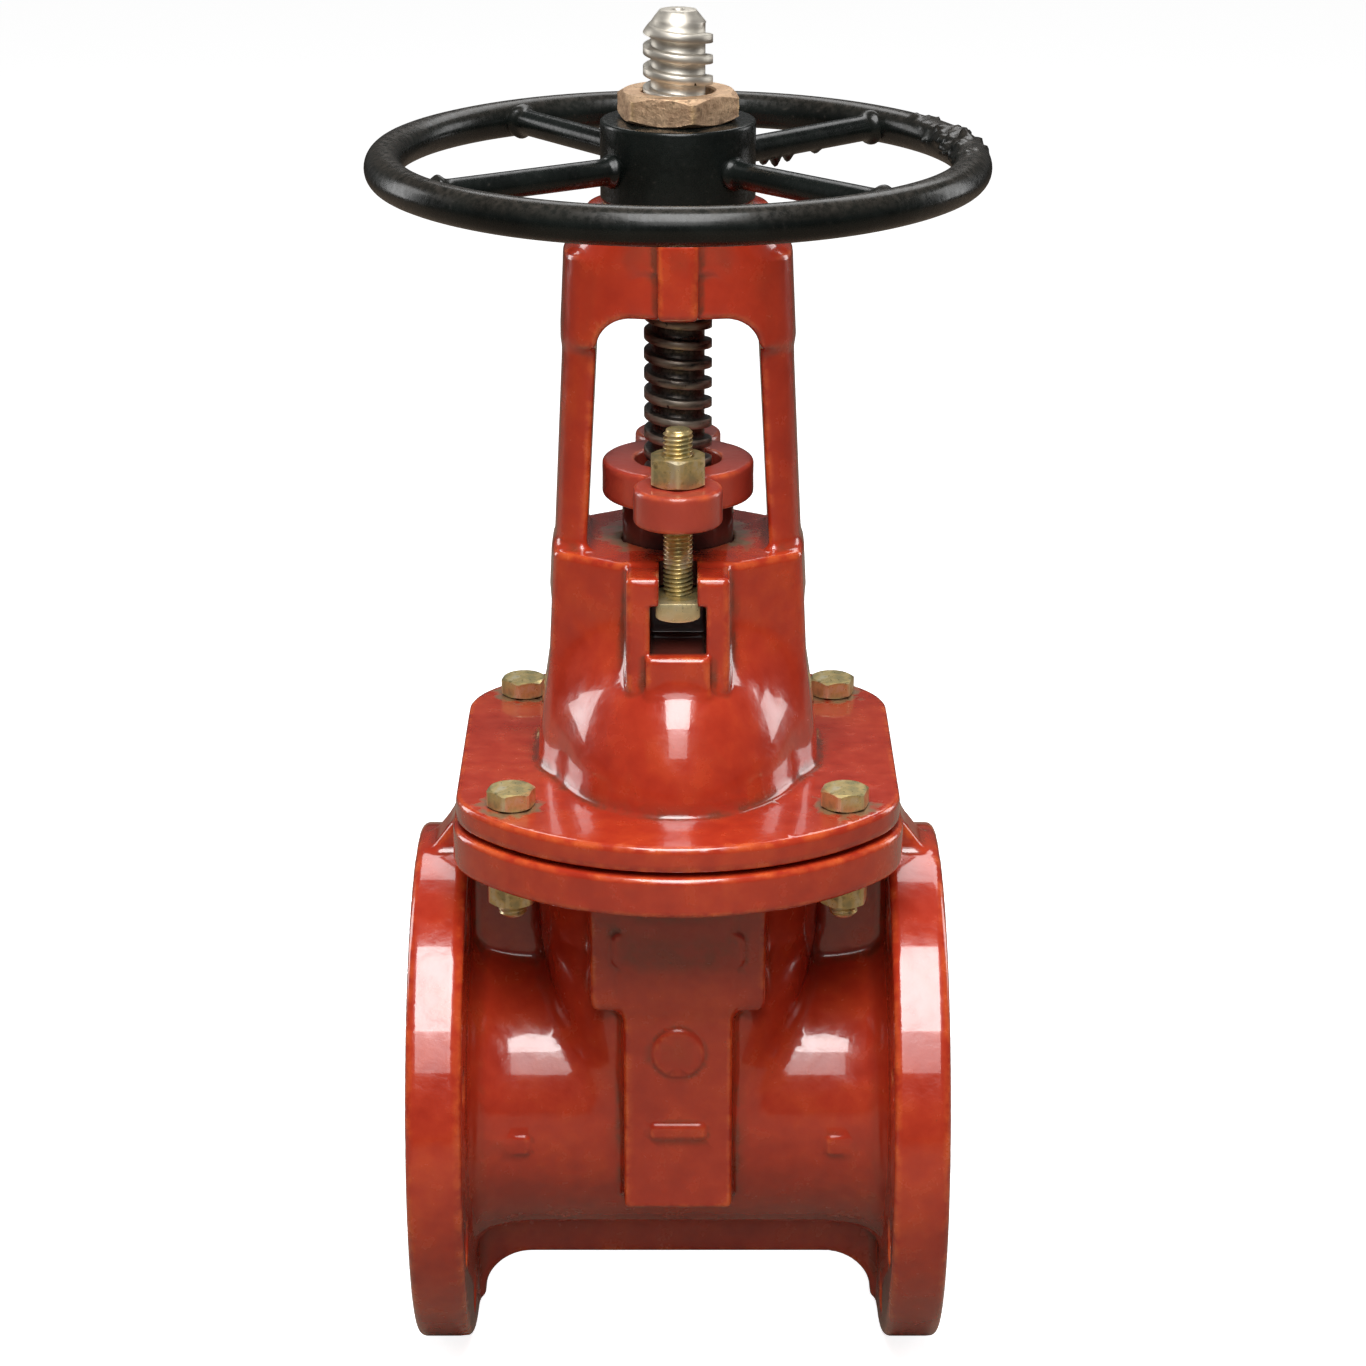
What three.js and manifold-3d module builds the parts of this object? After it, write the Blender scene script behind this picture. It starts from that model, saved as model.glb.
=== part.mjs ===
// 4-inch outside-screw-and-yoke (OS&Y) gate valve with flanged ends and a rubber-faced wedge.
//
// Millimetres. +Z runs up the stem, +X along the pipe and -Y is the front, where one gland bolt shows.
// Every height below is measured from the pipe axis. The whole valve is lifted at the end so that
// its two flange rims touch z = 0. The valve is shown shut: the stem is down and the wedge is seated.

import * as THREE from 'three';
import { mergeVertices } from 'three/addons/utils/BufferGeometryUtils.js';
import Module from 'manifold-3d';

const wasm = await Module();
wasm.setup();

// ---------------------------------------------------------------------------------------------
// Driving dimensions
// ---------------------------------------------------------------------------------------------

const GAP = 0.3; // clearance between pieces that touch each other on the real valve
const DEG = Math.PI / 180;

// Pipe ends: 4-inch class 125 flanges
const BORE_R = 50.8;
const FLANGE_R = 114.3;
const FACE_TO_FACE = 228.6;
const FLANGE_THICK = 23.8;
const FLANGE_HOLE_R = 9.5;
const FLANGE_HOLE_CIRCLE_R = 95.25;
const FLANGE_HOLES = 8;
const FLANGE_FACE_X = FACE_TO_FACE / 2;
const FLANGE_BACK_X = FLANGE_FACE_X - FLANGE_THICK;

// Body casting
const BARREL_R = 64;
const CHAMBER_FRONT_Y = 66;
const POCKET_R = 57.5; // inside of the wedge's pocket
const GUIDE_RIB_HALF_X = 23;
const GUIDE_RIB_FRONT_Y = 71;
const GUIDE_RIB_BOTTOM_Z = -29;
const SEAT_RING_R = 59;
const GUIDE_CHANNEL_Y = 64.5;
const KEEL_Z = -84.6;

// Bonnet joint: an oval flange pair held by four bolts on a square
const BODY_FLANGE_BOTTOM_Z = 127.3;
const BODY_FLANGE_TOP_Z = 144.6;
const GASKET_THICK = 1.2;
const BONNET_BOTTOM_Z = BODY_FLANGE_TOP_Z + GASKET_THICK + 2 * GAP;
const BONNET_FLANGE_TOP_Z = 157.7;
const BONNET_BOLT_XY = 69.4;

// Bonnet tower and yoke
const DOME_HALF = { x: 57, y: 85, z: 78 };
const DOME_BASE_Z = 155.7;
const DOME_WALL = 8.5;
const CAVITY_HALF_Z = 68;
const CAVITY_TOP_Z = 200.2;
const BOX_FLOOR_Z = 208; // floor of the stuffing box
const STEM_HOLE_R = 19.3; // through that floor
const DECK_Z = 254;
const PAD = { halfX: 21.5, frontY: 61.5, lowZ: 205 };
const LEDGE = { halfX: 13.5, frontY: 65, lowZ: 203, topZ: 221 };
const BOLT_SLOT = { halfX: 7.8, innerY: 33.5, lowZ: 240 };
const HEAD_POCKET_TOP_Z = 242;
const HEAD_POCKET = { halfX: 11.5, innerY: 31.5, lowZ: LEDGE.topZ };
const WINDOW_TOP_Z = 356;
const WINDOW_CORNER_R = 14;
const YOKE_SHOULDER_Z = 379;
const YOKE_TOP_Z = 397;
const BOSS_R = 38;
const NOSE_RIB_HALF_X = 8.3;

// Stem: 1-1/8 inch, left-hand square-form thread, three threads to the inch
const STEM_R = 14.29;
const STEM_ROOT_R = 11.2;
const THREAD_PITCH = 25.4 / 3;
const RIDGE_ROOT_WIDTH = THREAD_PITCH * 0.5;
const RIDGE_CREST_WIDTH = THREAD_PITCH * 0.4;
const THREAD_BOTTOM_Z = 264;
const THREAD_START_Z = 245; // the ridge's middle crosses the +X side at this height
const STEM_TOP_Z = 476.8;
const STEM_TOP_R = 7.5; // the flat left by the long chamfer at the top
const STEM_CHAMFER = 8.5;
const STEM_TIP_Z = 44;
const STEM_TIP_R = 12.7;
const STEM_COLLAR_R = 18;
const STEM_COLLAR_THICK = 6;
const TURN_STEPS = 12; // facets round one turn of any thread

// Wedge
const WEDGE_R = 54.5;
const WEDGE_HALF_X = 17.3; // half thickness over the rubber, at the pipe axis
const WEDGE_SLOPE = 0.0875; // growth of that half thickness per millimetre of height
const RUBBER_THICK = 4.5;
const WEDGE_TOP_Z = 50;
const HUB_TOP_Z = 80;
const WEDGE_HUB_R = 19.5;
const WEDGE_PIN_Z = 65;
const WEDGE_PIN_R = 4.75;

// Packing and gland: 3/8-inch square packing round the stem
const PACKING_R = 23.6;
const PACKING_RINGS = 4;
const PACKING_HEIGHT = 9.2;
const GLAND_NOSE_Z = 246.3;
const GLAND_BOTTOM_Z = 272.7;
const GLAND_TOP_Z = 288.5;
const GLAND_BOLT_Y = 40.2;
const GLAND_LOBE_R = 21.3;
const GLAND_SIDE_R = 32;
const GLAND_MOUTH_R = 18.3;
const GLAND_MOUTH_FLOOR_Z = 276;

// Bolts and nuts
const BONNET_BOLT_R = 6;
const BONNET_BOLT_FLATS = 18.5; // across the flats of its head and its nut
const BONNET_BOLT_TIP_Z = 109.2;
const BONNET_NUT_HEIGHT = 12.2;
const GLAND_BOLT_R = 6.2;
const GLAND_BOLT_TIP_Z = 312;
const GLAND_NUT_FLATS = 22.2;
const GLAND_NUT_HEIGHT = 12.3;
const TEE_HEAD = { halfX: 9.3, length: 22.8, innerY: 33.2, height: 8.4 };

// Handwheel
const HUB_R = 32;
const HUB_BOTTOM_Z = 399.3;
const HUB_WHEEL_TOP_Z = 432.3;
const RIM_R = 120.9;
const RIM_BAR_R = 8.1;
const RIM_Z = 414;
const SPOKE_BAR_R = 5.5;
const SPOKE_DIRECTIONS = [43, 127, 213, 315]; // degrees, anticlockwise from +X seen from above
const WHEEL_NUT_FLATS = 46;
const WHEEL_NUT_HEIGHT = 11.5;

// Yoke nut and its key
const YOKE_NUT_R = 20;
const YOKE_NUT_NECK_R = 18;
const YOKE_NUT_FLANGE_R = 26.8;
const YOKE_NUT_FLANGE_THICK = 5.7;
const YOKE_NUT_LOW_Z = 358;
const YOKE_NUT_THREAD_LOW_Z = 376;
const YOKE_NUT_TOP_Z = 440.8;
const KEY_HALF_WIDTH = 3;
const KEY_DEPTH = 3; // into the nut, and the same into the hub

// ---------------------------------------------------------------------------------------------
// Solids: joining, cutting and a few shape makers
// ---------------------------------------------------------------------------------------------

// Turns a closed BufferGeometry into a manifold solid, with shared vertices merged, triangles that
// have collapsed to a line dropped, and the faces pointing out.
function solidFrom(geometry) {
  const bare = geometry.clone();
  bare.deleteAttribute('normal');
  bare.deleteAttribute('uv');
  const merged = mergeVertices(bare, 1e-4);
  const corners = Array.from(merged.index.array);
  const point = (i) => new THREE.Vector3().fromBufferAttribute(merged.attributes.position, i);
  const triangles = [];
  let volume = 0;
  for (let i = 0; i < corners.length; i += 3) {
    const [a, b, c] = corners.slice(i, i + 3);
    if (a === b || b === c || c === a) continue;
    triangles.push(a, b, c);
    volume += point(a).dot(point(b).cross(point(c)));
  }
  if (volume < 0) triangles.reverse();
  return new wasm.Manifold(new wasm.Mesh({
    numProp: 3,
    vertProperties: new Float32Array(merged.attributes.position.array),
    triVerts: new Uint32Array(triangles),
  }));
}

const asSolid = (shape) => (shape.isBufferGeometry ? solidFrom(shape) : shape);
const join = (...shapes) => shapes.map(asSolid).reduce((sum, shape) => sum.add(shape));
const cut = (base, ...tools) =>
  tools.map(asSolid).reduce((rest, tool) => rest.subtract(tool), asSolid(base));
const common = (...shapes) => shapes.map(asSolid).reduce((shared, shape) => shared.intersect(shape));

function geometryFrom(shape) {
  const mesh = asSolid(shape).getMesh();
  const geometry = new THREE.BufferGeometry();
  geometry.setAttribute('position', new THREE.Float32BufferAttribute(mesh.vertProperties, 3));
  geometry.setIndex(Array.from(mesh.triVerts));
  geometry.computeVertexNormals();
  return geometry;
}

// A solid of revolution about Z. The outline is a list of [radius, height] pairs.
function turned(outline, steps = 32) {
  const points = outline.map(([radius, height]) => new THREE.Vector2(radius, height));
  return new THREE.LatheGeometry(points, steps).rotateX(Math.PI / 2);
}

const rod = (radius, low, high, steps = 32) =>
  turned([[0, low], [radius, low], [radius, high], [0, high]], steps);

const tube = (inner, outer, low, high, steps = 32) =>
  turned([[inner, low], [outer, low], [outer, high], [inner, high], [inner, low]], steps);

// The same along X or Y in place of Z.
const alongX = (geometry) => geometry.rotateY(Math.PI / 2);
const alongY = (geometry) => geometry.rotateX(-Math.PI / 2);

// A block given by its lowest and highest corners.
function block(low, high) {
  const size = high.map((value, i) => value - low[i]);
  const middle = high.map((value, i) => (value + low[i]) / 2);
  return new THREE.BoxGeometry(...size).translate(...middle);
}

const shapeOf = (points) => new THREE.Shape(points.map(([x, y]) => new THREE.Vector2(x, y)));

// An outline in X and Y, raised from one height to another.
function raised(shape, low, high, arcSteps = 12) {
  const settings = { depth: high - low, bevelEnabled: false, curveSegments: arcSteps };
  return new THREE.ExtrudeGeometry(shape, settings).translate(0, 0, low);
}

// An outline in X and Z, as thick as twice halfY.
const uprightXZ = (shape, halfY, arcSteps = 12) =>
  raised(shape, -halfY, halfY, arcSteps).rotateX(Math.PI / 2);

// An outline in Y and Z, as long as twice halfX.
const uprightYZ = (shape, halfX, arcSteps = 12) =>
  raised(shape, -halfX, halfX, arcSteps).applyMatrix4(new THREE.Matrix4().makeBasis(
    new THREE.Vector3(0, 1, 0), new THREE.Vector3(0, 0, 1), new THREE.Vector3(1, 0, 0)));

const hexCornerR = (acrossFlats) => acrossFlats / 2 / Math.cos(30 * DEG);

function hexagon(acrossFlats, turn = 0) {
  const radius = hexCornerR(acrossFlats);
  const direction = (i) => i * 60 * DEG + turn;
  const corner = (i) => [radius * Math.cos(direction(i)), radius * Math.sin(direction(i))];
  return shapeOf([0, 1, 2, 3, 4, 5].map(corner));
}

const average = (points, axis) => points.reduce((sum, point) => sum + point[axis], 0) / points.length;

// A closed skin through convex sections that lie one above the other. Each section is
// { z, points: [[x, y], ...] }, and all have the same number of points, anticlockwise from above.
function loft(sections) {
  const count = sections[0].points.length;
  const corners = sections.flatMap(({ z, points }) => points.map(([x, y]) => [x, y, z]));
  const lowCentre = corners.length;
  const highCentre = lowCentre + 1;
  corners.push([0, 1].map((axis) => average(sections[0].points, axis)).concat(sections[0].z));
  corners.push([0, 1].map((axis) => average(sections.at(-1).points, axis)).concat(sections.at(-1).z));
  const triangles = [];
  const topRing = (sections.length - 1) * count;
  for (let i = 0; i < count; i += 1) {
    const next = (i + 1) % count;
    triangles.push(lowCentre, next, i, highCentre, topRing + i, topRing + next);
    for (let ring = 0; ring < topRing; ring += count) {
      triangles.push(ring + i, ring + next, ring + count + next);
      triangles.push(ring + i, ring + count + next, ring + count + i);
    }
  }
  const geometry = new THREE.BufferGeometry();
  geometry.setAttribute('position', new THREE.Float32BufferAttribute(corners.flat(), 3));
  geometry.setIndex(triangles);
  return geometry;
}

// A rounded oval with half widths a and b. A higher power makes it squarer; 2 is an ellipse.
function oval(a, b, power = 2.6, steps = 32) {
  const reach = (value) => Math.sign(value) * Math.abs(value) ** (2 / power);
  return Array.from({ length: steps }, (_, i) => {
    const angle = (i / steps) * 2 * Math.PI;
    return [a * reach(Math.cos(angle)), b * reach(Math.sin(angle))];
  });
}

const ovalBlock = (a, b, low, high, power, steps) =>
  loft([low, high].map((z) => ({ z, points: oval(a, b, power, steps) })));

// The outline of the bonnet joint: flat sides, a wide arc at front and back, and round corners.
function jointOutline(grow) {
  const sideX = 93.5 + grow;
  const frontY = 117 + grow;
  const cornerR = 40 + grow;
  const frontR = 109 + grow;
  const cornerX = sideX - cornerR;
  const frontCentreY = frontY - frontR;
  const cornerY = frontCentreY + Math.sqrt((frontR - cornerR) ** 2 - cornerX ** 2);
  const meet = Math.atan2(cornerY - frontCentreY, cornerX);
  const shape = new THREE.Shape();
  shape.absarc(cornerX, cornerY, cornerR, 0, meet);
  shape.absarc(0, frontCentreY, frontR, meet, Math.PI - meet);
  shape.absarc(-cornerX, cornerY, cornerR, Math.PI - meet, Math.PI);
  shape.absarc(-cornerX, -cornerY, cornerR, Math.PI, Math.PI + meet);
  shape.absarc(0, -frontCentreY, frontR, Math.PI + meet, 2 * Math.PI - meet);
  shape.absarc(cornerX, -cornerY, cornerR, 2 * Math.PI - meet, 2 * Math.PI);
  return shape;
}

const BOLT_CORNERS = [[-1, -1], [1, -1], [1, 1], [-1, 1]].map(
  (signs) => signs.map((sign) => sign * BONNET_BOLT_XY),
);

const boltHoles = (low, high) =>
  BOLT_CORNERS.map(([x, y]) => rod(BONNET_BOLT_R + 1, low, high, 12).translate(x, y, 0));

// A left-hand threaded bar. Its surface is one strip wound round Z, four corners to a step: the root
// under a ridge, the ridge's two crest corners and the root above it. It rises as it turns clockwise
// seen from above. The widths of the ridge at its root and at its crest are measured along Z.
function threadedBar(rootR, crestR, rootWidth, crestWidth, low, high) {
  const steps = Math.ceil(((high - low) / THREAD_PITCH) * TURN_STEPS);
  const corners = [];
  const triangles = [];
  const corner = (step, place) => step * 4 + place;
  const quad = (a, b, c, d) => triangles.push(a, b, c, a, c, d);
  for (let i = 0; i <= steps; i += 1) {
    const angle = (-i / TURN_STEPS) * 2 * Math.PI;
    const middle = low + (i / TURN_STEPS) * THREAD_PITCH;
    const put = (radius, z) => corners.push(radius * Math.cos(angle), radius * Math.sin(angle), z);
    put(rootR, middle - rootWidth / 2);
    put(crestR, middle - crestWidth / 2);
    put(crestR, middle + crestWidth / 2);
    put(rootR, middle + rootWidth / 2);
  }
  for (let i = 0; i < steps; i += 1) {
    for (let place = 0; place < 3; place += 1) {
      quad(corner(i, place), corner(i, place + 1), corner(i + 1, place + 1), corner(i + 1, place));
    }
  }
  for (let i = 0; i < steps - TURN_STEPS; i += 1) {
    const above = i + TURN_STEPS;
    quad(corner(i, 3), corner(above, 0), corner(above + 1, 0), corner(i + 1, 3));
  }
  // Each end closes on a point of the axis, round the last turn and down the blunt end of the ridge.
  const oneTurn = Array.from({ length: TURN_STEPS + 1 }, (_, i) => i);
  const turnOf = (first, place) => oneTurn.map((i) => corner(first + i, place));
  const lowEdge = [...turnOf(0, 0), corner(0, 3), corner(0, 2), corner(0, 1)];
  const highEdge = [...turnOf(steps - TURN_STEPS, 3), corner(steps, 2), corner(steps, 1), corner(steps, 0)];
  const lowPoint = corners.length / 3;
  corners.push(0, 0, low - THREAD_PITCH, 0, 0, corners.at(-1) + THREAD_PITCH);
  lowEdge.forEach((at, i) => triangles.push(lowPoint, at, lowEdge[(i + 1) % lowEdge.length]));
  highEdge.forEach((at, i) => triangles.push(lowPoint + 1, highEdge[(i + 1) % highEdge.length], at));
  const geometry = new THREE.BufferGeometry();
  geometry.setAttribute('position', new THREE.Float32BufferAttribute(corners, 3));
  geometry.setIndex(triangles);
  return geometry;
}

// ---------------------------------------------------------------------------------------------
// Materials
// ---------------------------------------------------------------------------------------------

const finish = (name, color, roughness, metalness) =>
  new THREE.MeshStandardMaterial({ name, color, roughness, metalness });

const redEnamel = () => finish('red_enamel', 0xa82418, 0.25, 0);
const blackEnamel = () => finish('black_enamel', 0x15161a, 0.3, 0);
const stainless = () => finish('stainless_steel', 0x9a9286, 0.3, 1);
const bronze = () => finish('bronze', 0xb98a63, 0.45, 1);
const zincPlate = () => finish('yellow_zinc', 0xb59a55, 0.35, 1);
const ironCore = () => finish('ductile_iron', 0x55585c, 0.6, 1);
const blackRubber = () => finish('black_rubber', 0x1c1c1e, 0.85, 0);
const packingBraid = () => finish('graphite_packing', 0x2b2a2a, 0.8, 0);
const gasketSheet = () => finish('gasket_sheet', 0x252423, 0.9, 0);

// ---------------------------------------------------------------------------------------------
// Body casting
// ---------------------------------------------------------------------------------------------

// Half width of the chamber along X at a height, outside and inside.
const chamberOutsideX = (z) => 45.7 + 0.186 * Math.min(z, 80);
const chamberInsideX = (z) => 35 + 0.11 * z;

function endFlange() {
  const edge = 3;
  return turned([
    [0, FLANGE_BACK_X],
    [FLANGE_R - edge, FLANGE_BACK_X],
    [FLANGE_R, FLANGE_BACK_X + edge],
    [FLANGE_R, FLANGE_FACE_X - edge / 2],
    [FLANGE_R - edge / 2, FLANGE_FACE_X],
    [0, FLANGE_FACE_X],
  ], 48);
}

function flangeHoles() {
  return Array.from({ length: FLANGE_HOLES }, (_, i) => {
    const angle = (i + 0.5) * (360 / FLANGE_HOLES) * DEG;
    const y = FLANGE_HOLE_CIRCLE_R * Math.cos(angle);
    const z = FLANGE_HOLE_CIRCLE_R * Math.sin(angle);
    return alongX(rod(FLANGE_HOLE_R, -FACE_TO_FACE, FACE_TO_FACE, 12)).translate(0, y, z);
  });
}

// A channel along X with a round bottom: a half disc below the pipe axis, open wide above it.
function roundBottom(radius, top, halfX) {
  const shape = new THREE.Shape();
  shape.absarc(0, 0, radius, Math.PI, 2 * Math.PI);
  shape.lineTo(2 * radius, top);
  shape.lineTo(-2 * radius, top);
  return uprightYZ(shape, halfX, 20);
}

// Outside, the chamber rises from within the barrel and flares out under the bonnet joint.
function chamberOutside() {
  const low = -10;
  const fullDepth = 30;
  const flareStart = 88;
  const flare = 14;
  const flaredHalfX = 63;
  return loft([
    { z: low, points: oval(chamberOutsideX(low), BARREL_R - 2, 3) },
    { z: fullDepth, points: oval(chamberOutsideX(fullDepth), CHAMBER_FRONT_Y, 3) },
    { z: flareStart, points: oval(chamberOutsideX(flareStart), CHAMBER_FRONT_Y, 3) },
    { z: BODY_FLANGE_BOTTOM_Z + 1, points: oval(flaredHalfX, CHAMBER_FRONT_Y + flare, 2.6) },
  ]);
}

function chamberInside() {
  const flareStart = 92;
  const mouth = { halfX: 50, halfY: 75 };
  const sections = [
    { z: -POCKET_R - 1, points: oval(chamberInsideX(-POCKET_R), POCKET_R, 3) },
    { z: flareStart, points: oval(chamberInsideX(flareStart), POCKET_R, 3) },
    { z: BODY_FLANGE_TOP_Z + 1, points: oval(mouth.halfX, mouth.halfY, 2.4) },
  ];
  return common(loft(sections), roundBottom(POCKET_R, FACE_TO_FACE, FACE_TO_FACE / 2));
}

// The slab of space that the wedge drops into, between the two sloping seat faces.
function wedgeSlab(sideGap) {
  const low = -90;
  const high = 160;
  const half = (z) => WEDGE_HALF_X + WEDGE_SLOPE * z + sideGap;
  const corners = [[-half(low), low], [half(low), low], [half(high), high], [-half(high), high]];
  return uprightXZ(shapeOf(corners), FLANGE_R);
}

// Under the barrel a keel plate ties the two flanges together. It curves down to meet them.
function keel() {
  const halfThick = 7;
  const curveR = 22;
  const topZ = -40; // inside the barrel
  const curveX = FLANGE_BACK_X - 2.5 - curveR;
  const sideX = FLANGE_BACK_X + 1; // just inside the end flange
  const shape = new THREE.Shape();
  shape.moveTo(-sideX, topZ);
  shape.lineTo(-sideX, KEEL_Z - curveR);
  shape.absarc(-curveX, KEEL_Z - curveR, curveR, Math.PI, Math.PI / 2, true);
  shape.absarc(curveX, KEEL_Z - curveR, curveR, Math.PI / 2, 0, true);
  shape.lineTo(sideX, KEEL_Z - curveR);
  shape.lineTo(sideX, topZ);
  return uprightXZ(shape, halfThick, 8);
}

// On top a gusset slopes from the bonnet joint down to the rim of each end flange.
function topGusset(side) {
  const halfThick = 12;
  const outline = [[80, 95], [108, 95], [108.5, 113], [95, 131], [80, 131]];
  return uprightXZ(shapeOf(outline.map(([x, z]) => [side * x, z])), halfThick);
}

// The flat-fronted rib that houses the wedge's guide, with the wider plate above it.
function guideRib(side) {
  const draft = 3;
  const deep = 40 * side; // inside the chamber's wall
  const front = GUIDE_RIB_FRONT_Y * side;
  const plateHalfX = 37;
  const plateLowZ = 61;
  const section = (z, halfX) => {
    const wide = halfX + draft;
    const points = [[-wide, deep], [wide, deep], [halfX, front], [-halfX, front]];
    return { z, points: side > 0 ? points : points.reverse() };
  };
  const strip = loft([
    section(GUIDE_RIB_BOTTOM_Z, GUIDE_RIB_HALF_X + 1),
    section(BODY_FLANGE_BOTTOM_Z, GUIDE_RIB_HALF_X),
  ]);
  const plate = loft([
    section(plateLowZ, GUIDE_RIB_HALF_X),
    section(plateLowZ + 5, plateHalfX),
    section(BODY_FLANGE_BOTTOM_Z, plateHalfX),
  ]);
  return join(strip, plate);
}

function valveBody() {
  const flanges = [0, Math.PI].map((turn) => alongX(endFlange()).rotateZ(turn));
  const barrel = alongX(rod(BARREL_R, -FLANGE_BACK_X - 1, FLANGE_BACK_X + 1, 36));
  const bonnetFlange = raised(jointOutline(1.5), BODY_FLANGE_BOTTOM_Z, BODY_FLANGE_TOP_Z, 8);
  const outside = join(
    ...flanges, barrel, chamberOutside(), bonnetFlange, keel(),
    topGusset(1), topGusset(-1), guideRib(1), guideRib(-1),
  );
  const seatRings = cut(alongX(rod(SEAT_RING_R, -FLANGE_BACK_X, FLANGE_BACK_X, 32)), wedgeSlab(GAP));
  const room = cut(chamberInside(), seatRings);
  const channel = { halfX: 7, lowZ: -20 };
  const guideChannels = block(
    [-channel.halfX, -GUIDE_CHANNEL_Y, channel.lowZ],
    [channel.halfX, GUIDE_CHANNEL_Y, BODY_FLANGE_TOP_Z + 1],
  );
  const waterway = alongX(rod(BORE_R, -FACE_TO_FACE, FACE_TO_FACE, 32));
  const bonnetHoles = boltHoles(BODY_FLANGE_BOTTOM_Z - 1, BODY_FLANGE_TOP_Z + 1);
  return cut(outside, room, guideChannels, waterway, ...flangeHoles(), ...bonnetHoles);
}

// ---------------------------------------------------------------------------------------------
// Bonnet and yoke, one casting
// ---------------------------------------------------------------------------------------------

// Half widths of the yoke along X: its outer face, and the window between the legs.
const yokeOutsideX = (z) => 57.2 - 0.0478 * (z - 152);
const windowHalfX = (z) => 33.8 + 0.0532 * (339 - z);

// An ellipsoid centred on a height of the stem's axis.
function dome(half, base, steps = 32) {
  const ball = new THREE.SphereGeometry(1, steps, 16).rotateX(Math.PI / 2);
  return ball.scale(half.x, half.y, half.z).translate(0, 0, base);
}

// The tower under the yoke, eight-sided from above and narrower towards its deck.
function tower() {
  const sideY = 23;
  const faceX = 22;
  const faceY = 42;
  const plan = (z) => {
    const x = yokeOutsideX(z);
    return [
      [x, -sideY], [x, sideY], [faceX, faceY], [-faceX, faceY],
      [-x, sideY], [-x, -sideY], [-faceX, -faceY], [faceX, -faceY],
    ];
  };
  return loft([BONNET_FLANGE_TOP_Z - 1, DECK_Z].map((z) => ({ z, points: plan(z) })));
}

// The two gland bolt pads, at front and back, and the small ledge under each bolt pocket.
function boltPads() {
  const across = ({ halfX, frontY }, low, high) => block([-halfX, -frontY, low], [halfX, frontY, high]);
  return [across(PAD, PAD.lowZ, DECK_Z), across(LEDGE, LEDGE.lowZ, LEDGE.topZ)];
}

// The cut in each pad: a narrow slot for the bolt's shank over a wider pocket for its head.
function boltPockets(side) {
  const reach = ({ halfX, innerY, lowZ }, high) => {
    const [near, far] = [innerY * side, (LEDGE.frontY + 1) * side].sort((a, b) => a - b);
    return block([-halfX, near, lowZ], [halfX, far, high]);
  };
  return [reach(BOLT_SLOT, DECK_Z + 1), reach(HEAD_POCKET, HEAD_POCKET_TOP_Z)];
}

function yokeFrame() {
  const legHalfY = 25;
  const headHalfY = 36;
  const ribHalfY = 40;
  const cornerZ = WINDOW_TOP_Z - WINDOW_CORNER_R;
  const legBlock = loft([DECK_Z - 20, YOKE_SHOULDER_Z].map(
    (z) => ({ z, points: oval(yokeOutsideX(z), legHalfY, 4) }),
  ));
  const headBlock = loft([
    { z: cornerZ, points: oval(yokeOutsideX(cornerZ), headHalfY, 2.4) },
    { z: YOKE_SHOULDER_Z, points: oval(yokeOutsideX(YOKE_SHOULDER_Z), headHalfY, 2.4) },
    { z: YOKE_TOP_Z - 6, points: oval(BOSS_R + 1, BOSS_R, 2) },
  ]);
  const boss = rod(BOSS_R, YOKE_SHOULDER_Z, YOKE_TOP_Z);
  const noseRib = block(
    [-NOSE_RIB_HALF_X, -ribHalfY, WINDOW_TOP_Z - 4],
    [NOSE_RIB_HALF_X, ribHalfY, YOKE_TOP_Z - 8],
  );
  return cut(join(legBlock, headBlock, boss, noseRib), yokeWindow());
}

// The opening between the legs, seen from the front, with round upper corners.
function yokeWindow() {
  const low = DECK_Z - 30;
  const cornerZ = WINDOW_TOP_Z - WINDOW_CORNER_R;
  const topX = windowHalfX(cornerZ);
  const cornerX = topX - WINDOW_CORNER_R;
  const shape = new THREE.Shape();
  shape.moveTo(-windowHalfX(low), low);
  shape.lineTo(windowHalfX(low), low);
  shape.lineTo(topX, cornerZ);
  shape.absarc(cornerX, cornerZ, WINDOW_CORNER_R, 0, Math.PI / 2);
  shape.absarc(-cornerX, cornerZ, WINDOW_CORNER_R, Math.PI / 2, Math.PI);
  return uprightXZ(shape, PAD.frontY, 6);
}

function bonnet() {
  const wide = 200; // beyond every side of the bonnet
  const flange = raised(jointOutline(0), BONNET_BOTTOM_Z, BONNET_FLANGE_TOP_Z, 8);
  const lower = cut(
    join(dome(DOME_HALF, DOME_BASE_Z), tower(), ...boltPads()),
    block([-wide, -wide, 0], [wide, wide, BONNET_BOTTOM_Z + 2]),
  );
  const inner = { x: DOME_HALF.x - DOME_WALL, y: DOME_HALF.y - DOME_WALL, z: CAVITY_HALF_Z };
  const cavity = common(
    dome(inner, BONNET_BOTTOM_Z, 24),
    block([-wide, -wide, 0], [wide, wide, CAVITY_TOP_Z]),
  );
  const drilled = [
    cavity,
    rod(STEM_HOLE_R, CAVITY_TOP_Z - 10, BOX_FLOOR_Z + 10, 24),
    rod(PACKING_R + GAP, BOX_FLOOR_Z, DECK_Z + 10),
    rod(YOKE_NUT_R + GAP, WINDOW_TOP_Z - 10, YOKE_TOP_Z + 10),
    rod(YOKE_NUT_FLANGE_R + 0.5, WINDOW_TOP_Z - 10, YOKE_NUT_LOW_Z + YOKE_NUT_FLANGE_THICK + GAP),
    ...boltHoles(BONNET_BOTTOM_Z - 1, BONNET_FLANGE_TOP_Z + 1),
  ];
  return cut(join(flange, lower, yokeFrame()), ...drilled, ...boltPockets(-1), ...boltPockets(1));
}

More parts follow.
